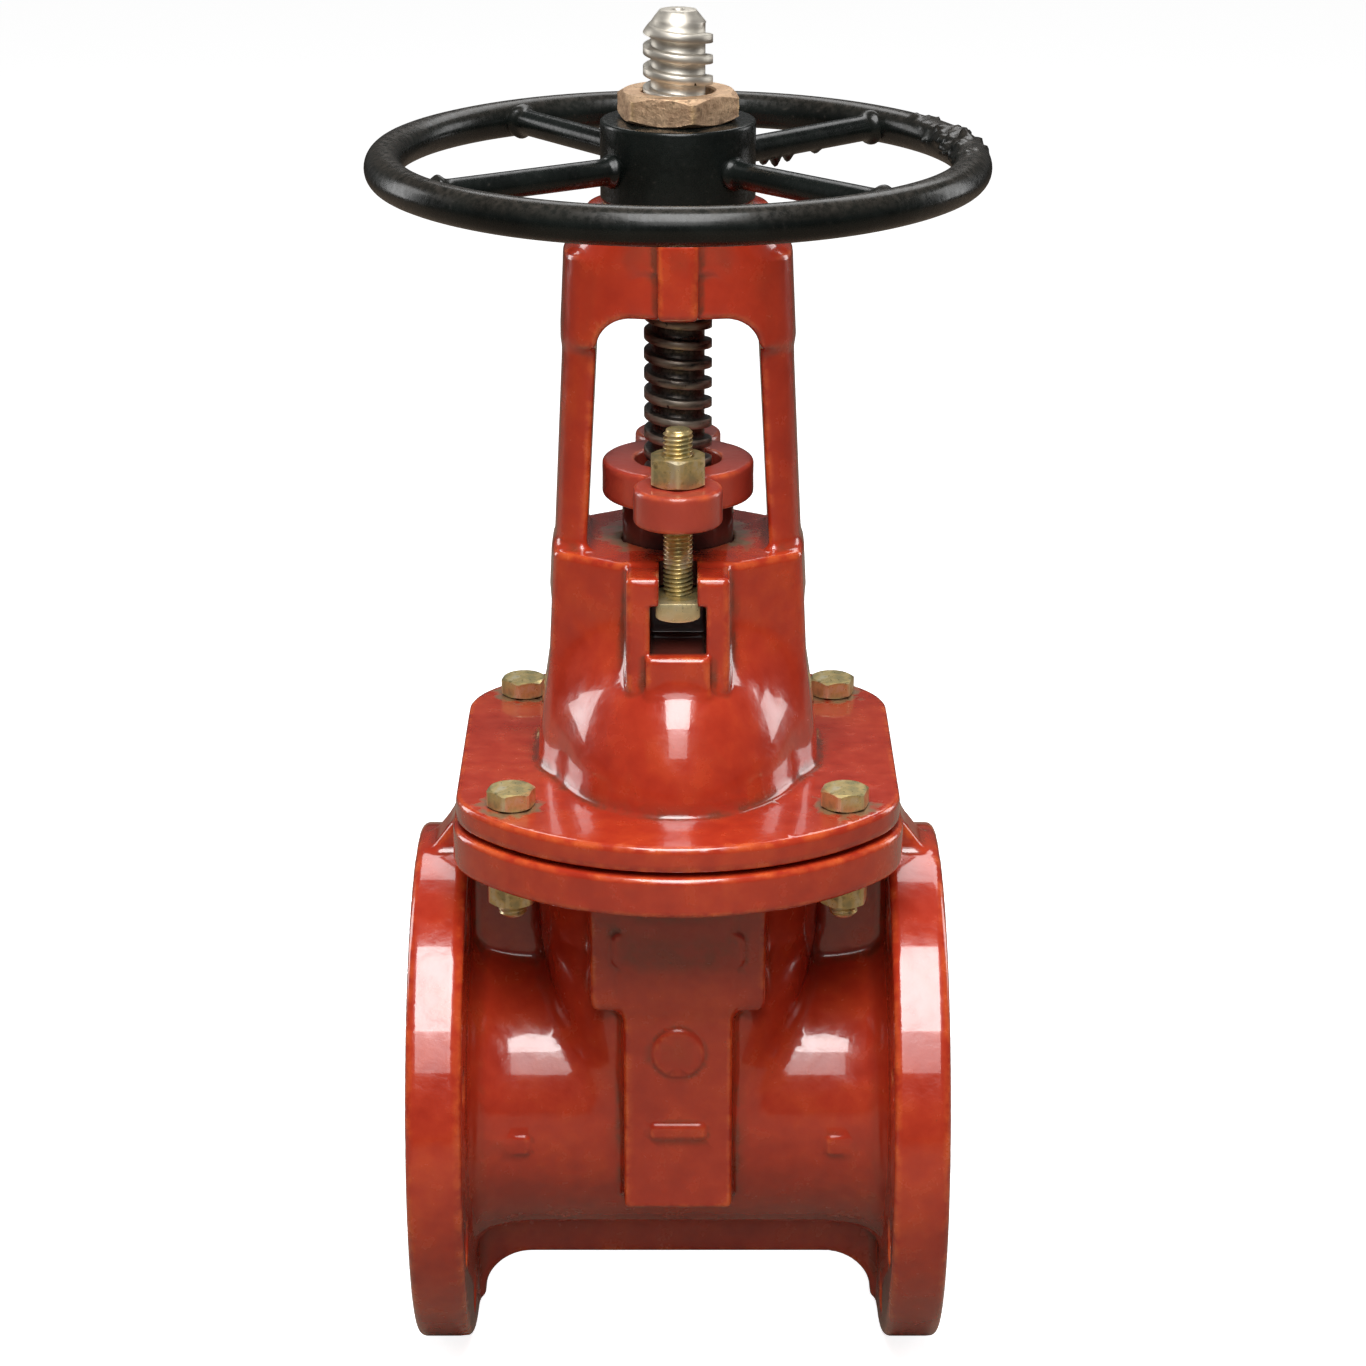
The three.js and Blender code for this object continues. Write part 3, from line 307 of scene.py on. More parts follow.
def field_mesh(name, distance, low, high, step, flatten=0.0):
    """The zero level of a distance field as a smooth mesh object.

    A field whose box starts at x = 0 or y = 0 is mirrored there. Each point of the mesh also gets
    "edge", which is how sharply the surface bulges there, and "corner", how sharply it is hollowed.
    """
    mirrored = [low[axis] == 0 for axis in range(3)]
    start = [step / 2 if mirrored[axis] else low[axis] for axis in range(3)]
    counts = [int((high[axis] - start[axis]) / step) + 2 for axis in range(3)]
    x, y, z = np.ogrid[: counts[0], : counts[1], : counts[2]]
    axes = [(start[axis] + step * v).astype(np.float32) for axis, v in enumerate((x, y, z))]
    values = np.broadcast_to(distance(*axes), counts).astype(np.float32)
    band = 3 * step
    whole = np.clip(values, -band, band)
    origin = list(start)
    for axis in range(3):
        if mirrored[axis]:
            whole = np.concatenate([np.flip(whole, axis), whole], axis)
            origin[axis] = -start[axis] - step * (counts[axis] - 1)
    grid = openvdb.FloatGrid(band)
    grid.copyFromArray(whole)
    points, triangles, quads = grid.convertToPolygons(isovalue=0, adaptivity=flatten)
    points = points * step + origin

    def at(places):
        """The field's value at any place, between its samples."""
        index = places.copy()
        for axis in range(3):
            if mirrored[axis]:
                index[:, axis] = np.abs(index[:, axis])
        index = (index - start) / step
        index = np.clip(index, 0, np.array(counts) - 1.001)
        base = index.astype(int)
        part = index - base
        total = 0
        for corner in range(8):
            pick = [(corner >> axis) & 1 for axis in range(3)]
            weight = np.prod([part[:, a] if pick[a] else 1 - part[:, a] for a in range(3)], axis=0)
            total = total + weight * values[tuple(base[:, a] + pick[a] for a in range(3))]
        return total

    normals = np.zeros_like(points)
    bulge = np.zeros(len(points))
    reach = 2.5 * step
    for axis in range(3):
        move = np.zeros(3)
        move[axis] = step
        normals[:, axis] = at(points + move) - at(points - move)
        move[axis] = reach
        bulge += at(points + move) + at(points - move)
    normals /= np.maximum(np.linalg.norm(normals, axis=1), 1e-9)[:, None]
    bulge /= reach
    mesh = bpy.data.meshes.new(name)
    faces = [tuple(int(i) for i in face) for face in triangles]
    faces += [tuple(int(i) for i in face) for face in quads]
    mesh.from_pydata((points * MM).tolist(), [], faces)
    mesh.validate()
    mesh.shade_smooth()
    add_attribute(mesh, "edge", np.clip(bulge, 0, 1))
    add_attribute(mesh, "corner", np.clip(-bulge, 0, 1))
    mesh.normals_split_custom_set_from_vertices(normals.tolist())
    return placed(name, mesh)


def add_attribute(mesh, name, values):
    """A number for each of the mesh's points, which materials can read by name."""
    attribute = mesh.attributes.new(name, "FLOAT", "POINT")
    attribute.data.foreach_set("value", np.asarray(values, np.float32))


def placed(name, mesh, x=0, y=0):
    """A new object that shows a mesh. Its origin is at the pipe axis's height, x and y mm along."""
    piece = bpy.data.objects.new(name, mesh)
    piece.location = (x * MM, y * MM, AXIS_Z)
    bpy.context.scene.collection.objects.link(piece)
    return piece


# ---- Valve body ----


def body_outside(x, y, z):
    """End flanges, barrel, the chamber that houses the wedge, front rib and plate, keel and webs."""
    radial = np.hypot(y, z)
    flange = shared(radial - FLANGE_R, slab(x, FLANGE_BACK_X, FLANGE_FACE_X), FLANGE_EDGE)
    flare = FLANGE_FLARE * np.clip((x - BARREL_R) / (FLANGE_BACK_X - BARREL_R), 0, 1) ** 2
    barrel = shared(radial - BARREL_R - flare, x - FLANGE_FACE_X + 5)
    half_x = CHAMBER_HALF_X + CHAMBER_TAPER * np.minimum(z, CHAMBER_TAPER_TOP_Z)
    half_x = half_x + np.interp(z, CHAMBER_NECK_Z, [0, CHAMBER_NECK_SPREAD_X])
    front_y = [BARREL_R - 2, CHAMBER_FRONT_Y, CHAMBER_FRONT_Y, CHAMBER_NECK_FRONT_Y]
    half_y = np.interp(z, [CHAMBER_LOW_Z, 30, *CHAMBER_NECK_Z], front_y)
    chamber = shared(oval(x, y, half_x, half_y, 3), CHAMBER_LOW_Z - z, 4)
    rib_half_x = RIB_HALF_X + np.interp(y, [RIB_ROOT_Y, RIB_FRONT_Y], [3, 0])
    rib = shared(x - rib_half_x, y - RIB_FRONT_Y, 2)
    rib = shared(rib, RIB_BOTTOM_Z - z, 2)
    plate_half_x = HEAD_PLATE_HALF_X + np.interp(y, [RIB_ROOT_Y, RIB_FRONT_Y], [1.5, 0])
    plate = shared(x - plate_half_x, y - RIB_FRONT_Y, 2)
    plate = shared(plate, HEAD_PLATE_BOTTOM_Z - z, 6)
    front = joined(rib, plate, 5)
    front = shared(front, RIB_ROOT_Y - y)
    joint = shared(joint_outline(x, y, 1.5), slab(z, BODY_FLANGE_LOW_Z, BODY_FLANGE_TOP_Z), 2)
    outside = joined(barrel, chamber, 7)
    outer_parts = (
        (front, 3), (flange, 8), (keel(x, y, z), 5), (top_gusset(x, y, z), 4),
        (cast_pads(x, y, z), 1), (joint, 5),
    )
    for part, fillet in outer_parts:
        outside = joined(outside, part, fillet)
    return shared(outside, np.maximum(x - FLANGE_FACE_X, z - BODY_FLANGE_TOP_Z))


def keel(x, y, z):
    """The plate under the barrel that ties the flanges together and curves down to meet them."""
    curve_x = FLANGE_BACK_X - 2.5 - KEEL_CURVE_R
    curve = KEEL_CURVE_R - np.hypot(x - curve_x, z - KEEL_Z + KEEL_CURVE_R)
    bottom = np.where(x > curve_x, np.maximum(curve, KEEL_Z - KEEL_CURVE_R - z), KEEL_Z - z)
    plate = shared(y - KEEL_HALF_Y, bottom, 3)
    return shared(plate, np.maximum(z + 40, x - FLANGE_BACK_X - 1))


def top_gusset(x, y, z):
    """The sloping web from the bonnet joint down to the rim of an end flange."""
    edge_x, edge_z = GUSSET_EDGE_XZ
    slope = (x - edge_x) * GUSSET_FALL + (z - edge_z) * GUSSET_RUN
    web = shared(y - GUSSET_HALF_Y, slope / math.hypot(GUSSET_FALL, GUSSET_RUN), 3)
    return shared(web, np.maximum(slab(x, *GUSSET_X), slab(z, *GUSSET_Z)))


def rounded_plate(u, v, half_u, half_v, corner_r):
    """Distance from a rectangle with round corners."""
    past_u = np.maximum(np.abs(u) - half_u + corner_r, 0)
    past_v = np.maximum(np.abs(v) - half_v + corner_r, 0)
    return np.hypot(past_u, past_v) - corner_r


def cast_pads(x, y, z):
    """Blank raised pads where a maker would cast its marks, on the front and the back."""
    proud_of_rib = y - RIB_FRONT_Y - PAD_PROUD
    head_pad = shared(rounded_plate(x, z - 93, 28, 8, 4), proud_of_rib, 1)
    badge = np.hypot(x, z - 45) - 11
    low_pad = rounded_plate(x, z - 8, 12, 3.5, 2)
    rib_pads = shared(joined(badge, low_pad), proud_of_rib, 1)
    proud_of_barrel = np.hypot(y, z) - BARREL_R - PAD_PROUD
    side_pad = shared(rounded_plate(x - 74, z + 2, 10, 4.5, 2), proud_of_barrel, 1)
    return shared(joined(joined(head_pad, rib_pads), side_pad), RIB_ROOT_Y + 10 - y)


def body_inside(x, y, z):
    """The waterway, the pocket that the wedge moves in, and every bolt hole."""
    radial = np.hypot(y, z)
    waterway = radial - BORE_R
    half_x = np.interp(z, [-60, 92, 146], [28.4, 45.1, 50])
    half_y = np.interp(z, [92, 146], [POCKET_R, 75])
    pocket = oval(x, y, half_x, half_y, 3)
    pocket = np.maximum(pocket, np.where(z < 0, radial - POCKET_R, -1e3))
    seat_face = WEDGE_HALF_X + WEDGE_SLOPE * z + GAP
    seat_ring = np.maximum(radial - SEAT_RING_R, seat_face - x)
    pocket = without(pocket, seat_ring)
    channel = np.maximum(np.maximum(x - CHANNEL_HALF_X, y - CHANNEL_Y), -20 - z)
    inside = joined(joined(waterway, pocket), joined(channel, np.maximum(bolt_hole(x, y), 120 - z)))
    for i in range(4):
        angle = math.radians(22.5 + 45 * i)
        hole_y = FLANGE_HOLE_CIRCLE_R * math.sin(angle)
        hole_z = FLANGE_HOLE_CIRCLE_R * math.cos(angle)
        hole = np.hypot(y - hole_y, z - hole_z) - FLANGE_HOLE_R
        inside = joined(inside, np.maximum(hole, FLANGE_BACK_X - 6 - x))
    return inside


def valve_body():
    """The body casting, mirrored left to right and front to back."""

    def distance(x, y, z):
        return without(body_outside(x, y, z), body_inside(x, y, z), 0.8)

    low = (0, 0, -FLANGE_R - 2)
    high = (FLANGE_FACE_X + 2, 121, BODY_FLANGE_TOP_Z + 2)
    return field_mesh("body_casting", distance, low, high, CAST_STEP, CAST_FLATTEN)


# ---- Bonnet and yoke ----


def bonnet_outside(x, y, z):
    """Flange, dome, the tower with its bolt pads and ledges, and the yoke on top."""
    side_x = YOKE_HALF_X - YOKE_LEAN * (z - YOKE_LOW_Z)
    joint = shared(joint_outline(x, y, 0), slab(z, BONNET_LOW_Z, BONNET_FLANGE_TOP_Z), 2)
    dome = ellipsoid(x, y, z - DOME_BASE_Z, DOME_HALF)
    slant_x = side_x - TOWER_FLAT_HALF_X
    slant = (x - TOWER_FLAT_HALF_X) * TOWER_SLANT + (y - TOWER_FRONT_Y) * slant_x
    slant = slant / np.hypot(TOWER_SLANT, slant_x)
    tower = shared(shared(x - side_x, slant, 3), y - TOWER_FRONT_Y, 3)
    tower = shared(tower, z - DECK_Z, 2)
    pad = shared(x - PAD_HALF_X, y - PAD_FRONT_Y, 2.5)
    pad = shared(pad, slab(z, PAD_LOW_Z, DECK_Z), 2)
    ledge = shared(x - LEDGE_HALF_X, y - LEDGE_FRONT_Y, 2)
    ledge = shared(ledge, slab(z, LEDGE_LOW_Z, LEDGE_TOP_Z), 2)
    lower = joined(joined(dome, tower, 12), joined(pad, ledge, 1), 3)
    lower = np.maximum(lower, BONNET_LOW_Z - z)
    leg = shared(oval(x, y, side_x, LEG_HALF_Y, 4), slab(z, DECK_Z - 20, YOKE_SHOULDER_Z), 1)
    shoulder_z = [YOKE_SHOULDER_Z, YOKE_HEAD_TOP_Z]
    shoulder_x = np.interp(z, shoulder_z, [YOKE_SHOULDER_HALF_X, BOSS_R + 1])
    head_x = np.where(z < YOKE_SHOULDER_Z, side_x, shoulder_x)
    head_y = np.interp(z, shoulder_z, [YOKE_SHOULDER_HALF_Y, BOSS_R])
    head = oval(x, y, head_x, head_y, 2.4)
    head = shared(head, slab(z, WINDOW_TOP_Z - 14, YOKE_HEAD_TOP_Z), 1.5)
    boss = shared(np.hypot(x, y) - BOSS_R, slab(z, WINDOW_TOP_Z + 20, YOKE_TOP_Z), 1.5)
    nose = shared(x - NOSE_RIB_HALF_X, y - NOSE_RIB_FRONT_Y, 2)
    nose = shared(nose, slab(z, WINDOW_TOP_Z - 4, YOKE_TOP_Z - 8), 1.5)
    head = joined(joined(head, boss, 2), nose, 2)
    yoke = without(joined(leg, head, 4), yoke_window(x, z), 3)
    lower = shared(joined(lower, joint, 3), BONNET_LOW_Z - z)
    return joined(lower, yoke, 4)


def yoke_window(x, z):
    """The opening between the legs, with round upper corners."""
    half_x = WINDOW_HALF_X + WINDOW_LEAN * (WINDOW_SHOULDER_Z - z)
    opening = shared(x - half_x, z - WINDOW_TOP_Z, WINDOW_CORNER_R)
    return np.maximum(opening, DECK_Z - 30 - z)


def bonnet_inside(x, y, z):
    """The cavity that the wedge rises into, the stem's way up, and the pockets for the gland bolts."""
    radial = np.hypot(x, y)
    inner = (DOME_HALF[0] - DOME_WALL, DOME_HALF[1] - DOME_WALL, CAVITY_HALF_Z)
    cavity = np.maximum(ellipsoid(x, y, z - BONNET_LOW_Z, inner), z - CAVITY_TOP_Z)
    stem_hole = np.maximum(radial - STEM_HOLE_R, slab(z, 190, 220))
    packing_box = np.maximum(radial - PACKING_R - GAP, slab(z, BOX_FLOOR_Z, DECK_Z + 10))
    nut_hole = np.maximum(radial - YOKE_NUT_R - GAP, 340 - z)
    nut_recess = np.maximum(radial - NUT_RECESS_R, slab(z, WINDOW_TOP_Z - 10, NUT_RECESS_TOP_Z))
    slot = np.maximum(x - SLOT_HALF_X, SLOT_BACK_Y - y)
    slot = np.maximum(slot, slab(z, POCKET_TOP_Z - 2, DECK_Z + 10))
    pocket = np.maximum(x - POCKET_HALF_X, POCKET_BACK_Y - y)
    pocket = np.maximum(pocket, slab(z, LEDGE_TOP_Z, POCKET_TOP_Z))
    inside = np.maximum(bolt_hole(x, y), z - BONNET_FLANGE_TOP_Z - 8)
    for part in (cavity, stem_hole, packing_box, nut_hole, nut_recess, slot, pocket):
        inside = joined(inside, part)
    return inside


def bonnet():
    """The bonnet and yoke casting, mirrored both ways like the body."""

    def distance(x, y, z):
        return without(bonnet_outside(x, y, z), bonnet_inside(x, y, z), 0.8)

    low = (0, 0, BONNET_LOW_Z - 2)
    high = (96, 120, YOKE_TOP_Z + 2)
    return field_mesh("bonnet_casting", distance, low, high, CAST_STEP, CAST_FLATTEN)


def gland():
    """The four-lobed follower that presses on the packing."""

    def distance(x, y, z):
        height = slab(z, GLAND_LOW_Z, GLAND_TOP_Z)
        centre = shared(np.hypot(x, y) - GLAND_SIDE_R, height, 2)
        lobe = shared(np.hypot(x, y - GLAND_LOBE_Y) - GLAND_LOBE_R, height, 2)
        nose = np.maximum(np.hypot(x, y) - PACKING_R, slab(z, GLAND_NOSE_Z, GLAND_TOP_Z - 2))
        outside = joined(joined(centre, lobe, 3), nose, 1)
        gland_bolt_hole = np.hypot(x, y - GLAND_BOLT_Y) - GLAND_BOLT_HOLE_R
        stem_hole = np.hypot(x, y) - STEM_R - 1
        mouth = np.maximum(np.hypot(x, y) - GLAND_MOUTH_R, GLAND_MOUTH_Z - z)
        return without(outside, joined(gland_bolt_hole, joined(stem_hole, mouth)), 0.8)

    low = (0, 0, GLAND_NOSE_Z - 2)
    high = (34, 64, GLAND_TOP_Z + 2)
    return field_mesh("gland_follower", distance, low, high, 0.7, 0.02)


# ---- Turned, threaded and six-sided pieces ----


def ring_faces(rings, around, climb=0, loop=False):
    """Quads between rings of points that lie one after the other. A ring's last point meets the
    first point of the ring that is climb places further on, so that a thread can rise."""
    faces = []
    for ring in range(rings if loop else rings - 1):
        above = (ring + 1) % rings
        for i in range(around - 1):
            here, there = ring * around + i, above * around + i
            faces.append((here, here + 1, there + 1, there))
        met = ring + climb
        met_above = (met + 1) % rings if loop else met + 1
        if 0 <= met and met_above < rings:
            end = around - 1
            this_end, next_end = ring * around + end, above * around + end
            faces.append((this_end, met * around, met_above * around, next_end))
    return faces


def ring_points(radius, turn, z):
    """Points at the angles in turn. The radius and the height are numbers or one for each angle."""
    return np.stack([radius * np.cos(turn), radius * np.sin(turn), z + 0 * turn], 1)


def lathe(outline, around=ROUND, loop=False):
    """A surface of revolution about the stem's axis, through a list of (radius, height) points."""
    turn = np.arange(around) * 2 * np.pi / around
    points = [ring_points(r, turn, z) for r, z in outline]
    return np.concatenate(points), ring_faces(len(outline), around, 0, loop)


def eased(outline, radius, steps=3, loop=False):
    """A lathe outline with its corners rounded off."""
    points = [Vector(p) for p in outline]
    result = []
    for i, corner in enumerate(points):
        if not loop and i in (0, len(points) - 1):
            result.append(tuple(corner))
            continue
        back = points[i - 1] - corner
        ahead = points[(i + 1) % len(points)] - corner
        reach = min(radius, back.length * 0.45, ahead.length * 0.45)
        start = corner + back.normalized() * reach
        end = corner + ahead.normalized() * reach
        for step in range(steps + 1):
            t = step / steps
            result.append(tuple(start.lerp(corner, t).lerp(corner.lerp(end, t), t)))
    return result


def thread(profile, root_r, crest_r, pitch, start, low, high, limits, hand, around=ROUND):
    """A helical ridge round the stem's axis. profile lists (place along the pitch, share of the
    ridge's height) for one turn, start is a height where the ridge's middle crosses +X, limits(z)
    gives the smallest and largest radius allowed at a height, and hand is 1 or -1 for a right-hand
    or left-hand thread."""
    turn = np.arange(around) * 2 * np.pi / around
    first = math.floor((low - start) / pitch) - 2
    last = math.ceil((high - start) / pitch) + 2
    points = []
    for whole in range(first, last):
        for place, height in profile:
            z = start + pitch * (whole + place) + hand * pitch * turn / (2 * np.pi)
            z = np.clip(z, low, high)
            smallest, largest = limits(z)
            radius = np.clip(root_r + height * (crest_r - root_r), smallest, largest)
            points.append(ring_points(radius, turn, z))
    faces = ring_faces(len(points), around, hand * len(profile))
    return np.concatenate(points), faces


SQUARE_THREAD = (
    (-0.265, 0), (-0.245, 0.08), (-0.208, 0.9), (-0.185, 1), (0, 1),
    (0.185, 1), (0.208, 0.9), (0.245, 0.08), (0.265, 0), (0.5, 0),
)
VEE_THREAD = ((-0.42, 0), (-0.07, 0.94), (0, 1), (0.07, 0.94), (0.42, 0))


def plain_bore(radius, low, high, sink=0.7):
    """A nut's hole, from the top down, with its mouths opened out a little."""
    return [(radius + sink, high), (radius, high - sink), (radius, low + sink), (radius + sink, low)]


def six_sided(flats, low, high, turn, bore=(), ease=0.35, rows=1):
    """A nut, or a bolt's head when it has no bore, with its corners turned off at both ends. A
    corner points turn degrees round from +X."""
    angle = math.radians(turn) + np.arange(ROUND) * 2 * np.pi / ROUND
    from_flat = (angle - math.radians(turn)) % (np.pi / 3) - np.pi / 6
    radius = np.minimum(flats / 2 / np.cos(from_flat), flats / 2 / math.cos(np.pi / 6) - ease)
    face_r = flats / 2 - 0.5
    drop = (radius - face_r) * math.tan(math.radians(30))
    rings = [(face_r, low)]
    rings += [(radius, low + drop + (high - low - 2 * drop) * i / rows) for i in range(rows + 1)]
    rings += [(face_r, high)]
    rings = [*rings, *bore] if bore else [(0, low), *rings, (0, high)]
    points = [ring_points(r, angle, z) for r, z in rings]
    return np.concatenate(points), ring_faces(len(rings), ROUND, 0, bool(bore))


def solid_piece(name, *parts, x=0, y=0, sharp=40, roughen=None):
    """One object from lists of (points, faces) in millimetres whose open edges meet."""
    shape = bmesh.new()
    for points, faces in parts:
        corners = [Vector(p) for p in points]
        if roughen:
            corners = [p + roughen(p) for p in corners]
        corners = [shape.verts.new(p * MM) for p in corners]
        for face in faces:
            shape.faces.new([corners[i] for i in face])
    bmesh.ops.remove_doubles(shape, verts=shape.verts, dist=0.004 * MM)
    bmesh.ops.dissolve_degenerate(shape, edges=shape.edges, dist=0.004 * MM)
    loose = [v for v in shape.verts if not v.link_faces]
    bmesh.ops.delete(shape, geom=loose, context="VERTS")
    bmesh.ops.recalc_face_normals(shape, faces=shape.faces)
    mesh = bpy.data.meshes.new(name)
    shape.to_mesh(mesh)
    shape.free()
    mesh.shade_smooth()
    mesh.set_sharp_from_angle(angle=math.radians(sharp))
    return placed(name, mesh, x, y)


def cut_key_slot(piece):
    """Cuts the key's slot out of the wheel hub or the yoke nut."""
    cutter_mesh = bpy.data.meshes.new("key_slot")
    shape = bmesh.new()
    bmesh.ops.create_cube(shape, size=1)
    low = Vector((YOKE_NUT_R - KEY_DEPTH, -KEY_HALF_WIDTH - GAP, HUB_LOW_Z + 2)) * MM
    high = Vector((YOKE_NUT_R + KEY_DEPTH, KEY_HALF_WIDTH + GAP, HUB_TOP_Z + 1)) * MM
    for corner in shape.verts:
        corner.co = Vector(high[a] if corner.co[a] > 0 else low[a] for a in range(3))
    shape.to_mesh(cutter_mesh)
    shape.free()
    cutter = placed("key_slot", cutter_mesh)
    cut = piece.modifiers.new("key slot", "BOOLEAN")
    cut.object = cutter
    cut.operation = "DIFFERENCE"
    shown = piece.evaluated_get(bpy.context.evaluated_depsgraph_get())
    mesh = bpy.data.meshes.new_from_object(shown)
    mesh.set_sharp_from_angle(angle=math.radians(45))
    piece.modifiers.clear()
    piece.data = mesh
    bpy.data.objects.remove(cutter)


def stem():
    """The stem: its tip in the wedge, the collar, the plain shank and the left-hand square thread."""
    cone_z = STEM_TOP_Z - STEM_CHAMFER
    collar_top_z = COLLAR_LOW_Z + COLLAR_THICK
    shank = [
        (0, STEM_TIP_Z), (STEM_TIP_R - 1, STEM_TIP_Z), (STEM_TIP_R, STEM_TIP_Z + 1),
        (STEM_TIP_R, COLLAR_LOW_Z), (COLLAR_R, COLLAR_LOW_Z), (COLLAR_R, collar_top_z),
        (STEM_R, collar_top_z), (STEM_R, STEM_THREAD_LOW_Z),
    ]

    def limits(z):
        run_out_z = [STEM_THREAD_LOW_Z, STEM_THREAD_LOW_Z + STEM_RUN_OUT]
        run_out = np.interp(z, run_out_z, [STEM_R, STEM_ROOT_R])
        cone = np.interp(z, [cone_z, STEM_TOP_Z], [STEM_R, STEM_TOP_R])
        return np.minimum(run_out, cone), cone

    ridge = thread(
        SQUARE_THREAD, STEM_ROOT_R, STEM_R, STEM_PITCH, STEM_THREAD_START_Z,
        STEM_THREAD_LOW_Z, STEM_TOP_Z, limits, -1,
    )
    centre_drill = [(STEM_TOP_R, 0), (3, 0), (1.6, -3), (1.6, -5), (0, -6)]
    top = lathe([(r, STEM_TOP_Z + depth) for r, depth in centre_drill])
    return solid_piece("stem_turned", lathe(eased(shank, 0.6)), ridge, top, sharp=62)


def yoke_nut():
    """The bronze nut that turns under the yoke's head, with the thread that lifts the stem."""
    bore_r = STEM_R + 1
    crest_r = STEM_ROOT_R + YOKE_NUT_ROOM
    top, low = YOKE_NUT_TOP_Z, YOKE_NUT_LOW_Z
    flange_top = low + YOKE_NUT_FLANGE_THICK
    shoulder = HUB_TOP_Z - 2
    outline = [
        (bore_r, low), (YOKE_NUT_FLANGE_R, low), (YOKE_NUT_FLANGE_R, flange_top),
        (YOKE_NUT_R, flange_top), (YOKE_NUT_R, shoulder), (YOKE_NUT_NECK_R, shoulder),
        (YOKE_NUT_NECK_R, top), (bore_r, top),
    ]

    def limits(z):
        ends = [YOKE_NUT_THREAD_LOW_Z, YOKE_NUT_THREAD_LOW_Z + 2, top - 1.5, top]
        smallest = np.interp(z, ends, [bore_r, crest_r, crest_r, bore_r])
        return smallest, np.full_like(z, bore_r)

    wide = [(place * 1.12, height) for place, height in SQUARE_THREAD[:-1]] + [(0.5, 0)]
    groove = thread(
        wide, crest_r, STEM_R + 0.5, STEM_PITCH, STEM_THREAD_START_Z, low, top, limits, -1,
    )
    nut = solid_piece("yoke_nut_turned", lathe(eased(outline, 0.5)), groove, sharp=50)
    cut_key_slot(nut)
    return nut


def bolt_thread(radius, pitch, low, high, depth=1.1):
    """A right-hand V thread all along a bolt, with a pointed end at low or high closed by a disc."""

    def limits(z):
        from_end = np.minimum(z - low, high - z)
        largest = radius - 1.4 + np.minimum(from_end, 1.4)
        return np.minimum(radius - depth, largest), largest

    skin = thread(VEE_THREAD, radius - depth, radius, pitch, low, low, high, limits, 1, ROUND // 2)
    ends = [lathe([(0, z), (radius - 1.4, z)], ROUND // 2) for z in (low, high)]
    return skin, *ends


def tee_head(side):
    """A gland bolt's head: flat on top, rounded below, longer to the outside, with soft edges."""
    half_x = TEE_HEAD_HALF_X
    steps = 12
    drop = 3
    arc = [math.pi * i / steps for i in range(steps + 1)]
    lower_z = TEE_HEAD_TOP_Z - TEE_HEAD_HEIGHT + drop
    outline = [(half_x, TEE_HEAD_TOP_Z)]
    outline += [(half_x * math.cos(a), lower_z - drop * math.sin(a)) for a in arc]
    outline += [(-half_x, TEE_HEAD_TOP_Z)]
    shape = bmesh.new()
    reach = [side * (y - GLAND_BOLT_Y) for y in TEE_HEAD_Y]
    ends = [[shape.verts.new((x, y, z)) for x, z in outline] for y in reach]
    count = len(outline)
    shape.faces.new(ends[0])
    shape.faces.new(ends[1])
    for i in range(count):
        j = (i + 1) % count
        shape.faces.new([ends[0][i], ends[0][j], ends[1][j], ends[1][i]])
    bmesh.ops.recalc_face_normals(shape, faces=shape.faces)
    shape.normal_update()
    edges = [edge for edge in shape.edges if edge.calc_face_angle(0) > math.radians(30)]
    bmesh.ops.bevel(shape, geom=edges, offset=0.6, segments=2, profile=0.5, affect="EDGES")
    shape.verts.index_update()
    points = np.array([v.co[:] for v in shape.verts])
    faces = [tuple(v.index for v in face.verts) for face in shape.faces]
    shape.free()
    return points, faces


def gland_bolt(name, side):
    """A T-head bolt: the head hooks under the pad's lips and the thread runs all the way up."""
    shank = bolt_thread(GLAND_BOLT_R, GLAND_BOLT_PITCH, TEE_HEAD_TOP_Z - 1, GLAND_BOLT_TIP_Z)
    return solid_piece(name, *shank, tee_head(side), y=side * GLAND_BOLT_Y, sharp=30)


def gland_nut(name, side):
    low = GLAND_TOP_Z + GAP
    high = low + GLAND_NUT_HEIGHT
    nut = six_sided(GLAND_NUT_FLATS, low, high, 30, plain_bore(GLAND_BOLT_R + GAP, low, high))
    return solid_piece(name, nut, y=side * GLAND_BOLT_Y, sharp=25)


def bonnet_bolt(name, x, y):
    low = BONNET_FLANGE_TOP_Z + GAP
    shank = bolt_thread(BONNET_BOLT_R, BONNET_BOLT_PITCH, BONNET_BOLT_TIP_Z, low + 1, 0.9)
    head = six_sided(BONNET_BOLT_FLATS, low, low + BONNET_BOLT_HEAD, 15)
    return solid_piece(name, *shank, head, x=x, y=y, sharp=25)


def bonnet_nut(name, x, y):
    high = BODY_FLANGE_LOW_Z - GAP
    low = high - BONNET_NUT_HEIGHT
    nut = six_sided(BONNET_BOLT_FLATS, low, high, 20, plain_bore(BONNET_BOLT_R + GAP, low, high))
    return solid_piece(name, nut, x=x, y=y, sharp=25)


def turned_ring(name, inner_r, outer_r, low, high, ease=0.4):
    outline = [(inner_r, low), (outer_r, low), (outer_r, high), (inner_r, high)]
    return solid_piece(name, lathe(eased(outline, ease, 3, True), loop=True), sharp=50)


# ---- Handwheel ----


def bump_at(place, centre, width, height):
    """How much a small round lump of that width adds at a place, all in the same unit."""
    return height * math.exp(-((place - centre) ** 2) / (2 * width**2))


